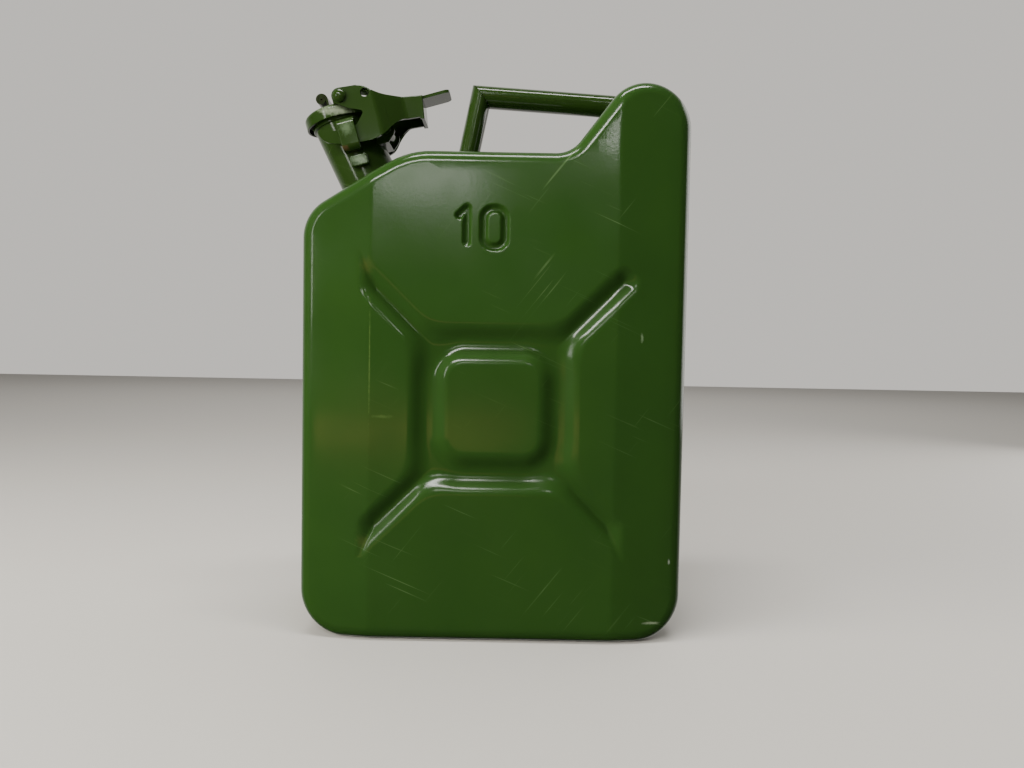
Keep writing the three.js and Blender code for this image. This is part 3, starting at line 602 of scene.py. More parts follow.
# %% Pressed numerals
ONE_X, ONE_LOW, ONE_HIGH, FLAG_X, FLAG_Z = -18.4, 263.2, 284.8, -23.4, 280.2
NOUGHT_X, NOUGHT_Z = -0.6, 272.5
NOUGHT_HALF_X, NOUGHT_HALF_Z, NOUGHT_CORNER = 6.9, 12.3, 6.2
STROKE, STROKE_SLOPE, STROKE_DEPTH = 3.1, 1.1, 2.3


def numeral_depth(x, z):
    """Depth of the pressed ten."""
    one = to_segment(x, z, ONE_X, ONE_LOW, ONE_X, ONE_HIGH)
    one = np.minimum(one, to_segment(x, z, ONE_X, ONE_HIGH, FLAG_X, FLAG_Z))
    nought = past_frame(x - NOUGHT_X, z - NOUGHT_Z, NOUGHT_HALF_X, NOUGHT_HALF_Z, NOUGHT_CORNER)
    strokes = (STROKE - np.minimum(one, np.abs(nought))) * STROKE_SLOPE
    return soft_above(soft_least(strokes, STROKE_DEPTH, 0.7), 0.4)


stroke_depth = numeral_depth(np.array([ONE_X]), np.array([NOUGHT_Z]))[0]
print("depth of the numerals", stroke_depth.round(2), "mm")

# %% Picking faces and drawing lines
WINDOW = (-99, 99, 55, 297)
PICK_MODE = {"polygons": "FACE", "edges": "EDGE", "vertices": "VERT"}


def pick(piece, domain, keep):
    """Selects the faces, edges or points that keep chooses, in edit mode."""
    bpy.ops.object.mode_set(mode="OBJECT")
    mesh = piece.data
    for part in (mesh.vertices, mesh.edges, mesh.polygons):
        part.foreach_set("select", [False] * len(part))
    chosen = getattr(mesh, domain)
    chosen.foreach_set("select", [bool(keep(part)) for part in chosen])
    bpy.ops.object.mode_set(mode="EDIT")
    bpy.ops.mesh.select_mode(type=PICK_MODE[domain])


def cut(piece, keep, axis, place):
    """Draws a line across the chosen faces at a place along one axis."""
    pick(piece, "polygons", keep)
    normal = Vector((axis == "x", axis == "y", axis == "z"))
    bpy.ops.mesh.bisect(plane_co=normal * place, plane_no=normal)


def on_line(half, edge, place):
    """Whether an edge of a half lies at a place between the seam and the face."""
    return all(abs(half.data.vertices[v].co.y - place) < 0.01 for v in edge.vertices)


def is_flat(face):
    """Whether a face lies flat on the side of the can."""
    return face.normal.y < -0.999


def in_window(face):
    """Whether a face lies on the side of a half, within the window that holds the pressing."""
    left, right, low, high = WINDOW
    return face.normal.y < -0.98 and left < face.center.x < right and low < face.center.z < high


print("window of the pressing: left, right, low and high", WINDOW)

# %% Rim, face and pressing of a half
RIM_FOOT, RIM_EDGE, RIM_SUNK = 6, 9, 3.5
CELL = 11


def sink_rim(half):
    """Sinks the rim of the half, so that the welded seam lies in a groove."""
    for line in (-RIM_EDGE, -RIM_FOOT):
        cut(half, lambda f: abs(f.normal.y) < 0.1, "y", line)
    pick(half, "vertices", lambda v: v.co.y > -RIM_FOOT - 0.01)
    bpy.ops.transform.shrink_fatten(value=-RIM_SUNK, use_even_offset=True)
    pick(half, "edges", lambda e: on_line(half, e, -RIM_FOOT) or on_line(half, e, -RIM_EDGE))
    bpy.ops.mesh.bevel(offset=1.2, segments=3, profile=0.5, affect="EDGES")


def divide_face(half):
    """Draws the creases and a grid on the face, and divides the window with the pressing finely."""
    for line in (-CREASE, CREASE):
        for offset in (-CREASE_BEND, 0, CREASE_BEND):
            cut(half, lambda f: f.center.y < -10, "x", line + offset)
    for line in range(-11 * CELL, 12 * CELL, CELL):
        cut(half, is_flat, "x", line)
    for line in range(CELL, 34 * CELL, CELL):
        cut(half, is_flat, "z", line)
    pick(half, "polygons", lambda f: is_flat(f) and in_window(f))
    bpy.ops.mesh.subdivide(number_cuts=3)
    bpy.ops.object.mode_set(mode="OBJECT")


def fall_back(half):
    """Lets the face and its rounded edge fall back past the creases."""
    for vertex in half.data.vertices:
        if vertex.co.y < -20:
            vertex.co.y += FACE - float(face_reach(np.float64(vertex.co.x)))


def refine(half, depth, cuts):
    """Divides the cells where a pressing has its walls and bends again."""
    bpy.ops.object.mode_set(mode="OBJECT")
    middles = np.array([f.center for f in half.data.polygons])
    deep = [depth(middles[:, 0] + dx, middles[:, 2] + dz) > 0.01 for dx in (-2, 2) for dz in (-2, 2)]
    touched = np.any(deep, axis=0)
    pick(half, "polygons", lambda f: touched[f.index] and in_window(f))
    bpy.ops.mesh.subdivide(number_cuts=cuts)


def push_in(half, with_numerals):
    """Moves the points of the window to the depth of the pressing."""
    places = np.empty(len(half.data.vertices) * 3)
    half.data.vertices.foreach_get("co", places)
    places = places.reshape(-1, 3)
    x, y, z = places.T
    left, right, low, high = WINDOW
    flat = (np.abs(y + face_reach(x)) < 0.05) & (x > left) & (x < right) & (z > low) & (z < high)
    depth = cross_depth(x, z) + (numeral_depth(x, z) if with_numerals else 0)
    y[flat] = depth[flat] - face_reach(x)[flat]
    half.data.vertices.foreach_set("co", places.ravel())
    half.data.update()


print("seam groove", 2 * RIM_FOOT, "mm wide and", RIM_SUNK, "mm deep")

# %% One half
SEAM_GAP, EDGE_ROUND = 0.15, 9


def pressed_half(name, with_numerals):
    """One half, its face towards -Y, as a skin that is open at the seam."""
    half = ring_of(name, [(x, -SEAM_GAP, z) for x, z in can_outline])
    edit_all()
    bpy.ops.mesh.extrude_region_move(TRANSFORM_OT_translate={"value": (0, SEAM_GAP - FACE, 0)})
    face_outwards()
    pick(half, "polygons", lambda f: f.normal.y > 0.5)
    bpy.ops.mesh.delete(type="FACE")
    pick(half, "polygons", lambda f: f.normal.y < -0.9)
    bpy.ops.mesh.region_to_loop()
    bpy.ops.mesh.bevel(offset=EDGE_ROUND, offset_type="OFFSET", segments=10, profile=0.5, affect="EDGES")
    sink_rim(half)
    divide_face(half)
    fall_back(half)
    refine(half, cross_depth, 2)
    if with_numerals:
        refine(half, numeral_depth, 5)
    bpy.ops.object.mode_set(mode="OBJECT")
    push_in(half, with_numerals)
    return half


near = pressed_half("shell_near", True)
face_place = min(v.co.y for v in near.data.vertices)
print("near half", len(near.data.polygons), "faces, reaching", round(face_place, 2), "mm from the seam")

# %% Sheet thickness, the hole for the neck, and the far half
NECK_LEAN, NECK_CLEAR = math.radians(26), NECK_RADIUS + 0.3
CAN_SHEET = 1.0
MIRROR = Matrix.Scale(-1, 4, (0, 1, 0))


def flip(piece, turn):
    """Sets a piece by a turn that mirrors it, and lets its faces look outwards again."""
    piece.data.transform(turn)
    bpy.context.view_layer.objects.active = piece
    edit_all()
    bpy.ops.mesh.flip_normals()
    bpy.ops.object.mode_set(mode="OBJECT")


def neck_tool(radius):
    """A plain cylinder on the axis of the neck, for cutting."""
    deselect()
    bpy.ops.mesh.primitive_cylinder_add(vertices=LARGE_ROUND, radius=radius, depth=60)
    tool = bpy.context.object
    lean = Matrix.Translation(lip_middle) @ Matrix.Rotation(-NECK_LEAN, 4, "Y")
    tool.data.transform(lean @ Matrix.Translation((0, 0, -55)))
    return tool


def on_face(x, z, half_sizes, code):
    """A mark on the near face at a place of the can, in millimetres. Most are worn paint; one is a painted
    highlight.
    """
    return (can_middle / MM + x, -float(face_reach(np.float64(x))), z), half_sizes, code


face_wear_and_highlight = [
    on_face(-83, 247, (5, 9, 6), "#384a1e"),
    on_face(-84, 66, (5, 9, 5), "#384a20"),
    # A thin pale line down the left crease, as a painted highlight
    on_face(-80.6, 185, (0.5, 4, 42), "#465f2c"),
    on_face(-72, 149, (7, 4, 1.3), "#3b5527"),
    on_face(97, 203, (1.0, 6, 3.2), "#6c8160"),
    on_face(108, 14, (6, 20, 1.0), "#7d8b70"),
    on_face(119, 55, (0.9, 20, 2.0), "#8f998a"),
]
scuffed_highlit_enamel = green_enamel("stoved green enamel, scuffed", 0.003, face_wear_and_highlight)
enamel = green_enamel("stoved green enamel", 0.004)
far = pressed_half("shell_far", False)
flip(far, MIRROR)
for half, node, finish in ((near, "shell_near", scuffed_highlit_enamel), (far, "shell_far", enamel)):
    modify(half, "SOLIDIFY", thickness=CAN_SHEET, offset=-1, use_even_offset=False)
    drill(half, neck_tool(NECK_CLEAR))
    fit(half, CAN, "can", node, finish, smooth=40)

# %% [markdown]
# ## Welds
# A weld bead is a small ripple of melted steel under the paint. It follows the joint as a closed ring.
# A curve with a round section gives the bead, and its points are then moved in and out in slow ripples.

# %% Weld bead
RIPPLE, RIPPLE_SEED = 0.25, 1
# Blender seeds its noise from the clock, so a fixed seed gives the same ripples in every run
noise.seed_set(RIPPLE_SEED)


def wire(name, line, radius, resolution, closed):
    """A round wire or tube along a line of points."""
    deselect()
    bpy.ops.curve.primitive_bezier_circle_add()
    piece = bpy.context.object
    piece.data.splines.clear()
    path = piece.data.splines.new("POLY")
    path.points.add(len(line) - 1)
    path.use_cyclic_u = closed
    for point, spot in zip(path.points, line):
        point.co = (*spot, 1)
    piece.data.bevel_depth, piece.data.bevel_resolution = radius, resolution
    piece.select_set(True)
    bpy.ops.object.convert(target="MESH")
    piece = bpy.context.object
    piece.name = piece.data.name = name
    return piece


def bead(name, ring, radius):
    """A painted weld bead along a closed ring of points on the can."""
    weld = wire(name, ring, radius, 3, closed=True)
    for vertex in weld.data.vertices:
        vertex.co += noise.noise_vector(vertex.co * 0.55) * RIPPLE
    edit_all()
    bpy.ops.mesh.remove_doubles(threshold=0.001)
    face_outwards()
    fit(weld, CAN, "can", None, enamel, smooth=60)


print("weld ripples of", RIPPLE, "mm")

# %% [markdown]
# ## Filler neck
# The neck is a tube that leans forward out of the slope, with a rolled lip that the seal presses on.
# Its mouth is cut square to the lid and not to its own axis, so the upper ring of points is slid along
# the axis until it lies in the plane of the mouth.

# %% Neck with its rolled lip
NECK_BORE, NECK_LENGTH, NECK_TILT = 19.6, 61.7, math.radians(10)
lean = Matrix.Translation((NECK_X, 0, LIP_TOP)) @ Matrix.Rotation(-NECK_TILT, 4, "Y")
neck_wall = [(NECK_BORE, -NECK_LENGTH), (NECK_RADIUS, -NECK_LENGTH), (NECK_RADIUS, 0), (NECK_BORE, 0)]
neck_tube = turned("filler_neck", neck_wall, LARGE_ROUND, turn=lean)
axis = lean.to_3x3() @ Vector((0, 0, 1))
for vertex in neck_tube.data.vertices:
    if (lean.inverted() @ vertex.co).z > -1:
        vertex.co -= axis * (vertex.co.z / axis.z)
lip_corners = [(19.7, -2.2, 1.0), (21.9, -2.2, 1.0), (21.9, LIP_TOP, 1.2), (19.7, LIP_TOP, 1.0)]
lip = turned("lip", rounded(lip_corners, step=15), LARGE_ROUND, turn=Matrix.Translation((NECK_X, 0, 0)))
neck_piece = join("filler_neck", [neck_tube, lip])
fit(neck_piece, MOUTH, "can", "filler_neck", shaded_worn_enamel)

# %% Weld round the foot of the neck
foot_axis = Vector((-math.sin(NECK_LEAN), 0, math.cos(NECK_LEAN)))
foot_side = Vector((math.cos(NECK_LEAN), 0, math.sin(NECK_LEAN)))
slope_normal = Vector((-math.sin(SLOPE), 0, math.cos(SLOPE)))
WELD_RADIUS, WELD_POINTS, WELD_RAISED = 21.4, 120, 0.3
foot_ring = []
for k in range(WELD_POINTS):
    turn = 2 * math.pi * k / WELD_POINTS
    start = lip_middle + WELD_RADIUS * (foot_side * math.cos(turn) + Vector((0, 1, 0)) * math.sin(turn))
    sunk = RIM_SUNK * (1 - min(max((abs(start.y) - RIM_FOOT) / (RIM_EDGE - RIM_FOOT), 0), 1))
    on_slope = Vector((SLOPE_END, 0, DECK)) - slope_normal * (sunk - WELD_RAISED)
    height = (start - on_slope).dot(slope_normal) / foot_axis.dot(slope_normal)
    foot_ring.append(start - foot_axis * height)
bead("neck_weld", foot_ring, 1.5)

# %% [markdown]
# ## Straps and lugs on the neck
# On each side of the neck a strap stands off like a belt loop. The hooks of the lever reach through it
# and pull the lid down. Below it sits a short lug for the clamp of a pouring spout.
# The strap is a strip bent twice, made across the neck's side, with both ends laid on the tube.

# %% Mirrored pieces and the neck's side
def mirrored(piece, name):
    """A copy of a piece on the other side of the middle plane."""
    deselect()
    piece.select_set(True)
    bpy.context.view_layer.objects.active = piece
    bpy.ops.object.duplicate()
    copy = bpy.context.object
    copy.name = copy.data.name = name
    flip(copy, MIRROR)
    return copy


def neck_reach(x, z, radius):
    """How far the neck's side stands from the middle plane at a place in the frame of the mouth."""
    off = (x - NECK_X - math.tan(NECK_TILT) * (LIP_TOP - z)) * math.cos(NECK_TILT)
    return math.sqrt(max(radius ** 2 - off ** 2, 0))


ON_NECK = NECK_RADIUS + 0.15
print("neck's side at the lip", round(neck_reach(NECK_X, LIP_TOP, ON_NECK), 2), "mm from the middle")

# %% Straps
STRAP_SHEET = 1.8
# This turn changes X for Y, so an outline that was cut along the can lies across it
ACROSS = Matrix(((0, 1, 0, 0), (1, 0, 0, 0), (0, 0, 1, 0), (0, 0, 0, 1)))
loop_corners = [(16, -4.9, 0), (28.9, -4.9, 3.4), (28.9, -25.5, 3.4), (16, -25.5, 0)]
loop_path = rounded(loop_corners, step=10, closed=False)
strap_far = sheet("neck_strap_far", strip(loop_path, STRAP_SHEET), 0.3, 12.6)
flip(strap_far, ACROSS)
for vertex in strap_far.data.vertices:
    if vertex.co.y < 16.5:
        vertex.co.y = neck_reach(vertex.co.x, vertex.co.z, ON_NECK)
soften(strap_far, 0.5)
strap_near = mirrored(strap_far, "neck_strap_near")
# Pale painted highlights on the strap and on the lug, and rust at the strap's lower bend
neck_highlights_and_rust = [
    (at_mouth(6.5, -29.6, -11), (5, 5, 6), "#56694c"),
    (at_mouth(8.6, -25, -33), (7, 5, 4), "#6b7d64"),
    (at_mouth(2.2, -28.8, -24.6), (2.6, 2.6, 2.4), "#54402c"),
]
rust_and_highlight_enamel = green_enamel("stoved green enamel, rusting", marks=neck_highlights_and_rust, **HANDLED_AND_SHADED)
fit(strap_far, MOUTH, "can", "neck_strap_far", shaded_worn_enamel)
fit(strap_near, MOUTH, "can", "neck_strap_near", rust_and_highlight_enamel)

# %% Lugs
lug_face = rounded([(2.4, -37.4, 1.5), (14.8, -37.4, 1.5), (14.8, -29.6, 1.5), (2.4, -29.6, 1.5)], step=15)
lug_far = sheet("spout_lug_far", lug_face, 14, 25)
for vertex in lug_far.data.vertices:
    if vertex.co.y < 15:
        vertex.co.y = neck_reach(vertex.co.x, vertex.co.z, ON_NECK)
soften(lug_far, 0.9)
lug_near = mirrored(lug_far, "spout_lug_near")
fit(lug_far, MOUTH, "can", "spout_lug_far", shaded_worn_enamel)
fit(lug_near, MOUTH, "can", "spout_lug_near", rust_and_highlight_enamel)

# %% [markdown]
# ## Hinge
# Behind the neck a folded bracket carries the hinge of the lid. Its two cheeks and its floor are one
# piece of sheet, and the pin through them is peened over into a head at each end.

# %% Bracket and pin
hinge_x, hinge_z = HINGE
BOSS, BRACKET_SHEET, BRACKET_START = 6.5, 2.2, 16
crown, floor_low = hinge_z + BOSS, hinge_z - BOSS - BRACKET_SHEET
floor_top = floor_low + BRACKET_SHEET
cheek = [(BRACKET_START, floor_low), (hinge_x, floor_low)]
cheek += swing(HINGE, BOSS, -45, 90) + [(BRACKET_START, crown)]
cheek_far = sheet("cheek", cheek, 11.4, 13.6)
floor_strip = [(BRACKET_START, floor_low), (hinge_x, floor_low)]
floor_strip += [(hinge_x, floor_top), (BRACKET_START, floor_top)]
bracket_floor = sheet("bracket_floor", floor_strip, -12, 12)
bracket = join("hinge_bracket", [mirrored(cheek_far, "cheek_near"), cheek_far, bracket_floor])
for vertex in bracket.data.vertices:
    middle = NECK_X + math.tan(NECK_TILT) * (LIP_TOP - vertex.co.z)
    wall = middle + math.sqrt(max(NECK_CLEAR ** 2 - vertex.co.y ** 2, 0)) / math.cos(NECK_TILT)
    vertex.co.x = max(vertex.co.x, wall)
soften(bracket, 0.4)
fit(bracket, MOUTH, "can", "hinge_bracket", shaded_worn_enamel)
SIDEWAYS = Matrix.Rotation(math.radians(-90), 4, "X")
PIN, HEAD, HEAD_START, PIN_END = 2.5, 4, 13.9, 15.4
pin_corners = [(0, -PIN_END, 0), (HEAD, -PIN_END, 0.9), (HEAD, -HEAD_START, 0.3), (PIN, -HEAD_START, 0)]
pin_corners += [(PIN, HEAD_START, 0), (HEAD, HEAD_START, 0.3), (HEAD, PIN_END, 0.9), (0, PIN_END, 0)]
pin_place = Matrix.Translation((hinge_x, 0, hinge_z)) @ SIDEWAYS
pin = turned("hinge_pin", rounded(pin_corners, step=15), SMALL_ROUND, turn=pin_place)
fit(pin, MOUTH, "can", "hinge_pin", shaded_worn_enamel)

# %% [markdown]
# ## Lid and seal
# The lid is a shallow pressed cup with a soft upper edge. A ring of rubber inside it seals on the lip.

# %% Lid and seal
LID_RADIUS, LID_BORE, LID_TOP, LID_CEILING = 24.85, 23.4, 9, 7.4
lid_corners = [(0, LID_CEILING, 0), (LID_BORE, LID_CEILING, 1.2), (LID_BORE, 0, 0.5)]
lid_corners += [(LID_RADIUS, 0, 0.5), (LID_RADIUS, LID_TOP, 3.0), (0, LID_TOP, 0)]
lid = turned("lid", rounded(lid_corners, step=10), LARGE_ROUND)
# The pale band on the lid's front rim is partly worn paint and partly a painted highlight
lid_wear_and_highlight = [(at_mouth(2.3, -24.5, 3.4), (15, 6, 3.6), "#8b977f")]
worn_highlit_enamel = green_enamel("stoved green enamel, rubbed", marks=lid_wear_and_highlight, **HANDLED_AND_SHADED)
fit(lid, MOUTH, "lid", "lid", worn_highlit_enamel)
seal_corners = [(17, 2.3, 0.8), (22.4, 2.3, 0.8), (22.4, 7.1, 0.8), (17, 7.1, 0.8)]
seal = turned("lid_gasket", rounded(seal_corners, step=15), LARGE_ROUND)
fit(seal, MOUTH, "lid", "lid_gasket", rubber, slot="seal_rubber")

# %% [markdown]
# ## Bridge of the lid
# One strip carries the lid. In front it is rolled into a finger grip, on top it is riveted to the lid,
# and behind it goes down to the hinge, where it is rolled round the pin. Two ears on a cross piece hold
# the rivets of the lever. The strip's middle line is drawn once and then given its thickness.

# %% Bridge
ROLL = (-7.9, 18)
ROLL_REACH, ROLL_GAP = 3.8, 0.15
BRIDGE_SHEET, BRIDGE_HALF, BRIDGE_LINE = 1.7, 11, 10.3
BARREL = 3.65
spiral = np.radians(np.linspace(690, 0, 90))
roll_line = []
for a in spiral:
    reach = ROLL_REACH - (BRIDGE_SHEET + ROLL_GAP) * a / (2 * math.pi)
    roll_line.append((ROLL[0] + reach * math.cos(a), ROLL[1] + reach * math.sin(a)))
front, back = ROLL[0] + ROLL_REACH, hinge_x - BARREL
strap_corners = [(front, ROLL[1], 0), (front, BRIDGE_LINE, 2.4), (back, BRIDGE_LINE, 6), (back, hinge_z, 0)]
strap_line = rounded(strap_corners, step=10, closed=False)
bridge_line = roll_line + strap_line[1:] + swing(HINGE, BARREL, 180, 500)[1:]
strap = sheet("lid_strap", strip(bridge_line, BRIDGE_SHEET), -BRIDGE_HALF, BRIDGE_HALF)
EAR, EAR_FOOT, EAR_INNER, EAR_OUTER = 5.8, 7.6, 22.9, 25.1
CROSS_LOW, CROSS_TOP, CROSS_HALF = 9.35, 11.2, 24
pivot_x, pivot_z = PIVOT
ear_front, ear_rear = pivot_x - EAR, pivot_x + EAR
ear = [(ear_front, EAR_FOOT), (ear_rear, EAR_FOOT)] + swing(PIVOT, EAR, 0, 180)
ear_far = sheet("ear", ear, EAR_INNER, EAR_OUTER)
# The inner foot of the ear is lifted clear of the lid's rounded edge
for vertex in ear_far.data.vertices:
    if vertex.co.z < 8 and vertex.co.y < 24:
        vertex.co.z = LID_TOP + 0.1
ear_near = mirrored(ear_far, "ear_near")
cross_outline = [(ear_front, CROSS_LOW), (ear_rear, CROSS_LOW), (ear_rear, CROSS_TOP), (ear_front, CROSS_TOP)]
cross_piece = sheet("cross_piece", cross_outline, -CROSS_HALF, CROSS_HALF)
bridge = join("lid_bridge", [strap, ear_far, ear_near, cross_piece])
soften(bridge, 0.45)
# The dark patch over the rolled finger grip at the front is painted shade
roll_painted_shade = [(at_mouth(ROLL[0], 0, ROLL[1]), (14, 40, 14), "#1d1f10")]
roll_shade_enamel = green_enamel("stoved green enamel, grimy", marks=roll_painted_shade, **HANDLED_AND_SHADED)
fit(bridge, MOUTH, "lid", "lid_bridge", roll_shade_enamel)

# %% Rivets of the bridge and of the lever
rivet_foot = [(0, 5.9, 0), (3.2, 5.9, 0.4), (3.2, 7.1, 0), (2, 7.1, 0), (2, 11.6, 0)]
rivet_profile = rounded(rivet_foot + [(4, 11.6, 0.4), (3.4, 13.2, 1.2), (0, 14, 0)], step=12)
RIVET_ROUND = 32
for name, along in (("bridge_rivet_front", 1.4), ("bridge_rivet_rear", 12)):
    rivet = turned(name, rivet_profile, RIVET_ROUND, turn=Matrix.Translation((along, 0, 0)))
    fit(rivet, MOUTH, "lid", name, shaded_worn_enamel)
shank = [(0, 22.9), (1.9, 22.9), (1.9, 27.9), (4.5, 27.9)]
dome = [(4.7 * math.cos(a), 28.2 + 2.9 * math.sin(a)) for a in np.radians([0, 12, 25, 40, 55, 70, 80])]
rivet_place = Matrix.Translation((pivot_x, 0, pivot_z)) @ SIDEWAYS
rivet_far = turned("lever_rivet_far", shank + dome + [(0, 31.1)], SMALL_ROUND, turn=rivet_place)
rivet_near = mirrored(rivet_far, "lever_rivet_near")
fit(rivet_far, MOUTH, "lid", "lever_rivet_far", shaded_worn_enamel)
fit(rivet_near, MOUTH, "lid", "lever_rivet_near", shaded_worn_enamel)

# %% [markdown]
# ## Clamping lever
# The lever is one folded sheet. Each cheek has an upper jaw on its rivet, a throat round the lid's rim and
# a hook that reaches through the strap. Behind the lid the cheeks draw in to a narrow tail with a thumb
# tab, and a roof and an end wall join them. A folded sheet is easiest as a solid block: the side outline is
# extruded to the full width and drawn in, the open faces are deleted, the folds are bevelled, and the skin
# that is left gets its thickness. The rim that this adds is the cut edge, which has a finish of its own.

# %% Block of the lever
HALF_WIDTH, TAIL_DRAWN = 27.6, 14.4
DRAW_START, DRAW_END = 30, 48
ROOF_START, LEVER_SHEET = 20.6, 2.2
side = swing(PIVOT, 5.6, 80, 245) + [(11, 2), (19, -1.6)]
side += curve(side[-1], (20.8, -2.8), (19.3, -4.6)) + [(14.4, -10)]
hook = [((3, -14.4), (-11.8, -7.2)), ((-14.2, -8.2), (-13.4, -11)), ((-11.6, -16), (-8, -18))]
belly = [((2, -22), (14, -22.6)), ((28, -24.6), (34.5, -18)), ((40, -12.6), (46.5, -11.4))]
for pull, end in hook + belly:
    side += curve(side[-1], pull, end)
side += [(57, -12.4), (57, -13.6), (59.9, -14.2), (62.6, 2)]
for pull, end in (((48, 4.6), (39, 6.4)), ((33, 7.6), (28.6, 11)), ((24.6, 15.4), (19, 15.8))):
    side += curve(side[-1], pull, end)
lever = sheet("lever", side, -HALF_WIDTH, HALF_WIDTH)
HOLE_X, HOLE_Z, HOLE_RADIUS = 24.8, 9.3, 3
for line in [ROOF_START, HOLE_X] + list(range(DRAW_START - 2, DRAW_END + 3)):
    cut(lever, lambda f: True, "x", line)
deselect()
through = (math.pi / 2, 0, 0)
bpy.ops.mesh.primitive_cylinder_add(vertices=SMALL_ROUND, radius=HOLE_RADIUS, depth=80, rotation=through)
bpy.context.object.location = (HOLE_X, 0, HOLE_Z)
bpy.context.view_layer.update()
drill(lever, bpy.context.object)
for vertex in lever.data.vertices:
    past = soft_above(vertex.co.x - DRAW_START, 2) - soft_above(vertex.co.x - DRAW_END, 2)
    drawn = TAIL_DRAWN * float(past) / (DRAW_END - DRAW_START)
    vertex.co.y = math.copysign(HALF_WIDTH - drawn, vertex.co.y)
print("block of the lever", len(lever.data.polygons), "faces")


# %% Folded sheet with its thumb tab
END_WALL, NOTCH = 59.5, 12


def joins_cheeks(face):
    """The roof from its start to the tail, and the end wall."""
    in_hole = math.hypot(face.center.x - HOLE_X, face.center.z - HOLE_Z) < HOLE_RADIUS + 0.1
    roof = face.center.x > ROOF_START and face.normal.z > 0.3 and face.center.z > 0 and not in_hole
    return abs(face.normal.y) < 0.3 and (roof or (face.center.x > END_WALL and face.normal.x > 0.7))


pick(lever, "polygons", lambda f: abs(f.normal.y) < 0.3 and not joins_cheeks(f))
bpy.ops.mesh.delete(type="FACE")
for line in (-NOTCH, NOTCH):
    cut(lever, lambda f: joins_cheeks(f) and f.center.x < DRAW_START, "y", line)
pick(lever, "polygons", lambda f: joins_cheeks(f) and f.center.x < DRAW_START and abs(f.center.y) < NOTCH)
bpy.ops.mesh.delete(type="FACE")
pick(lever, "polygons", joins_cheeks)
bpy.ops.mesh.region_to_loop()
bpy.ops.mesh.bevel(offset=0.8, segments=3, profile=0.5, affect="EDGES")
bpy.ops.object.mode_set(mode="OBJECT")
modify(lever, "SOLIDIFY", thickness=LEVER_SHEET, offset=-1, use_even_offset=False, material_offset_rim=1)
TAB_START, TAB_END, TAB_HALF, TAB_CORNER, TAB_LOW = 58, 82, 11, 4, -0.2
tab_corners = [(TAB_START, -TAB_HALF, 0), (TAB_END, -TAB_HALF, TAB_CORNER)]
tab_corners += [(TAB_END, TAB_HALF, TAB_CORNER), (TAB_START, TAB_HALF, 0)]
tab = ring_of("thumb_tab", [(x, y, TAB_LOW) for x, y in rounded(tab_corners)])
edit_all()
bpy.ops.mesh.extrude_region_move(TRANSFORM_OT_translate={"value": (0, 0, LEVER_SHEET)})
face_outwards()
lever = join("lever", [lever, tab])
soften(lever, 0.4)
fit(lever, MOUTH, "lever", "lever", shaded_worn_enamel, cut_edge_wear_and_highlight)

# %% [markdown]
# ## Handle
# The handle is rolled oval tube: a leaning leg and a grip that meet in a mitre, all welded. The grip bends
# down at its rear end onto the lobe of the can. Each tube is an oval ring that is extruded; the bend is a
# spin, as on a tube bender. The end rings are then slid along the tube until they lie on what they meet.

# %% Leg
LEG_LEAN, GRIP_FALL = math.radians(11.3), math.radians(3.2)
LEG_LENGTH, MITRE_GAP = 54, 0.15
TUBE_HALF_WIDTH, TUBE_HALF_HEIGHT, TUBE_POINTS = 11, 7.5, 64
up = Vector((math.sin(LEG_LEAN), 0, math.cos(LEG_LEAN)))
rear = Vector((math.cos(GRIP_FALL), 0, -math.sin(GRIP_FALL)))
corner = Vector((-13.5, 0, 376.4))
leg_foot = corner - up * LEG_LENGTH
inward = (rear - up).normalized()
mitre = Vector((-inward.z, 0, inward.x))


def oval(middle, along):
    """An oval ring of tube, square to along."""
    flat = Vector((0, 1, 0)).cross(along).normalized()
    ring = []
    for turn in [2 * math.pi * k / TUBE_POINTS for k in range(TUBE_POINTS)]:
        sideways = Vector((0, TUBE_HALF_WIDTH * math.cos(turn), 0))
        ring.append(middle + sideways + flat * TUBE_HALF_HEIGHT * math.sin(turn))
    return ring


def slide_to_plane(vertex, along, point, normal):
    """Slides a point along the tube to the plane through another point."""
    vertex.co += along * ((point - vertex.co).dot(normal) / along.dot(normal))


leg = ring_of("handle_leg", oval(leg_foot, up))
edit_all()
bpy.ops.mesh.extrude_region_move(TRANSFORM_OT_translate={"value": tuple(up * LEG_LENGTH)})
face_outwards()
for vertex in leg.data.vertices:
    if (vertex.co - corner).dot(up) > -30:
        slide_to_plane(vertex, up, corner - mitre * MITRE_GAP, mitre)
    else:
        slide_to_plane(vertex, up, Vector((0, 0, DECK + 0.3)), Vector((0, 0, 1)))
fit(leg, CAN, "can", "handle_leg", shaded_worn_enamel)

# %% Grip
LOBE, LOBE_RADIUS = Vector((98.5, 0, 340.5)), 29.5
GRIP_STRAIGHT, BEND_RADIUS, BEND = 94, 14, math.radians(30)
bend_start = corner + rear * GRIP_STRAIGHT
down = Vector((rear.z, 0, -rear.x))
bend_middle = bend_start + down * BEND_RADIUS
grip = ring_of("handle_grip", oval(corner, rear))
edit_all()
bpy.ops.mesh.extrude_region_move(TRANSFORM_OT_translate={"value": tuple(rear * GRIP_STRAIGHT)})
bpy.ops.mesh.spin(steps=8, angle=BEND, center=tuple(bend_middle), axis=(0, -1, 0))
face_outwards()
bent = Matrix.Rotation(BEND, 3, "Y")
end_along = bent @ rear
end_middle = bend_middle + bent @ (bend_start - bend_middle)


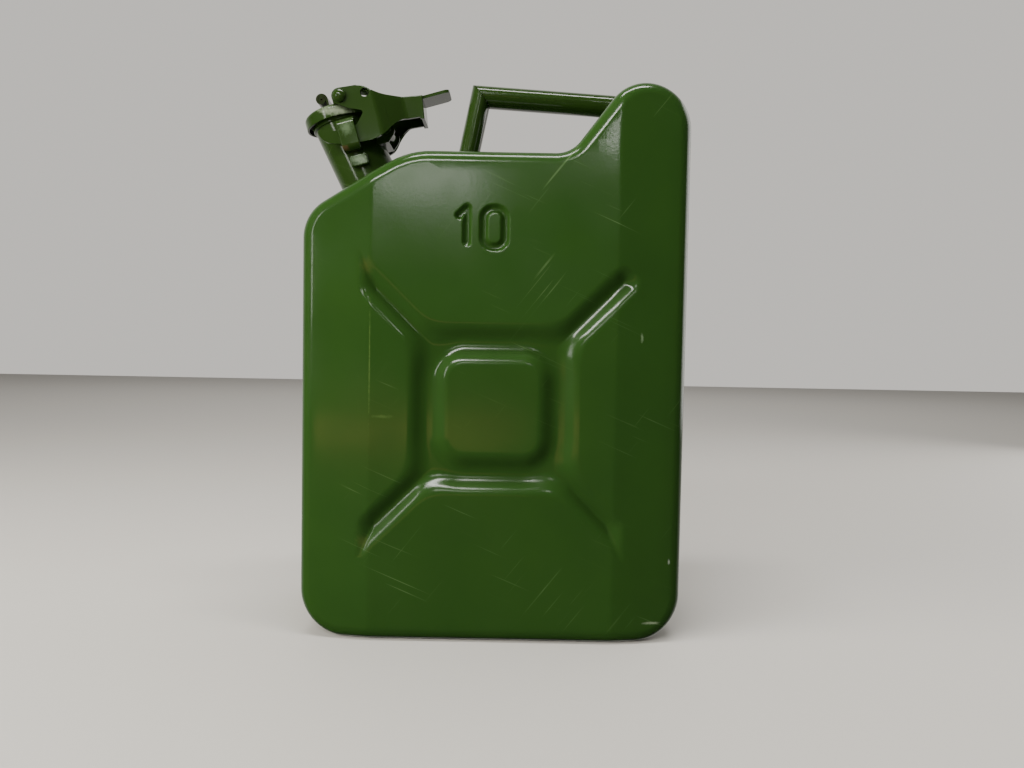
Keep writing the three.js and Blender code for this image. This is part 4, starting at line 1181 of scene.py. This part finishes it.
def on_lobe(point, radius):
    """A point of the grip's end slid along the tube until it lies on the lobe."""
    away = Vector((point.x, 0, point.z)) - LOBE
    b, c = away.dot(end_along), away.length_squared - radius ** 2
    return point + end_along * max(-b - math.sqrt(max(b * b - c, 0)), 0)


for vertex in grip.data.vertices:
    if (vertex.co - corner).dot(rear) < 20:
        slide_to_plane(vertex, rear, corner + mitre * MITRE_GAP, mitre)
    elif abs((vertex.co - end_middle).dot(end_along)) < 0.2:
        vertex.co = on_lobe(vertex.co, LOBE_RADIUS + 0.2)
fit(grip, CAN, "can", "handle_grip", shaded_worn_enamel)

# %% Welds of the handle
foot_oval = [v + up * ((DECK + 0.6 - v.z) / up.z) for v in oval(leg_foot, up)]
bead("leg_weld", foot_oval, 1.4)
lobe_ring = [on_lobe(v, LOBE_RADIUS + 0.4) for v in oval(end_middle, end_along)]
bead("lobe_weld", lobe_ring, 1.4)

# %% [markdown]
# ## Breather pipe
# Inside the can a thin pipe leads air from the rear lobe to the mouth, so that the can pours smoothly.
# Only its end shows, when the lid is open. It is a curve with a round section.

# %% Breather pipe
neck_down = -foot_axis
PIPE_START, PIPE_ASIDE, PIPE_STRAIGHT = 8, 14.6, 52
pipe_top = lip_middle + neck_down * PIPE_START + foot_side * PIPE_ASIDE
pipe_bend = pipe_top + neck_down * PIPE_STRAIGHT
PIPE_LOW, PIPE_REAR, PIPE_END, PIPE_RADIUS, PIPE_SHEET = 294, 97, 352, 4.5, 1.1
LEVEL_START, LEVEL_END = -50, 62
knee = pipe_bend + neck_down * ((pipe_bend.z - PIPE_LOW) / -neck_down.z)
pipe_line = [(pipe_top.x, pipe_top.z), (pipe_bend.x, pipe_bend.z)]
pipe_line += curve(pipe_line[-1], (knee.x, PIPE_LOW), (LEVEL_START, PIPE_LOW)) + [(LEVEL_END, PIPE_LOW)]
pipe_line += curve(pipe_line[-1], (PIPE_REAR, PIPE_LOW), (PIPE_REAR, PIPE_END))
pipe = wire("vent_tube", [(x, 0, z) for x, z in pipe_line], PIPE_RADIUS, 5, closed=False)
modify(pipe, "SOLIDIFY", thickness=PIPE_SHEET, offset=-1, use_even_offset=False)
fit(pipe, CAN, "can", "vent_tube", zinc, slot="zinced_steel")
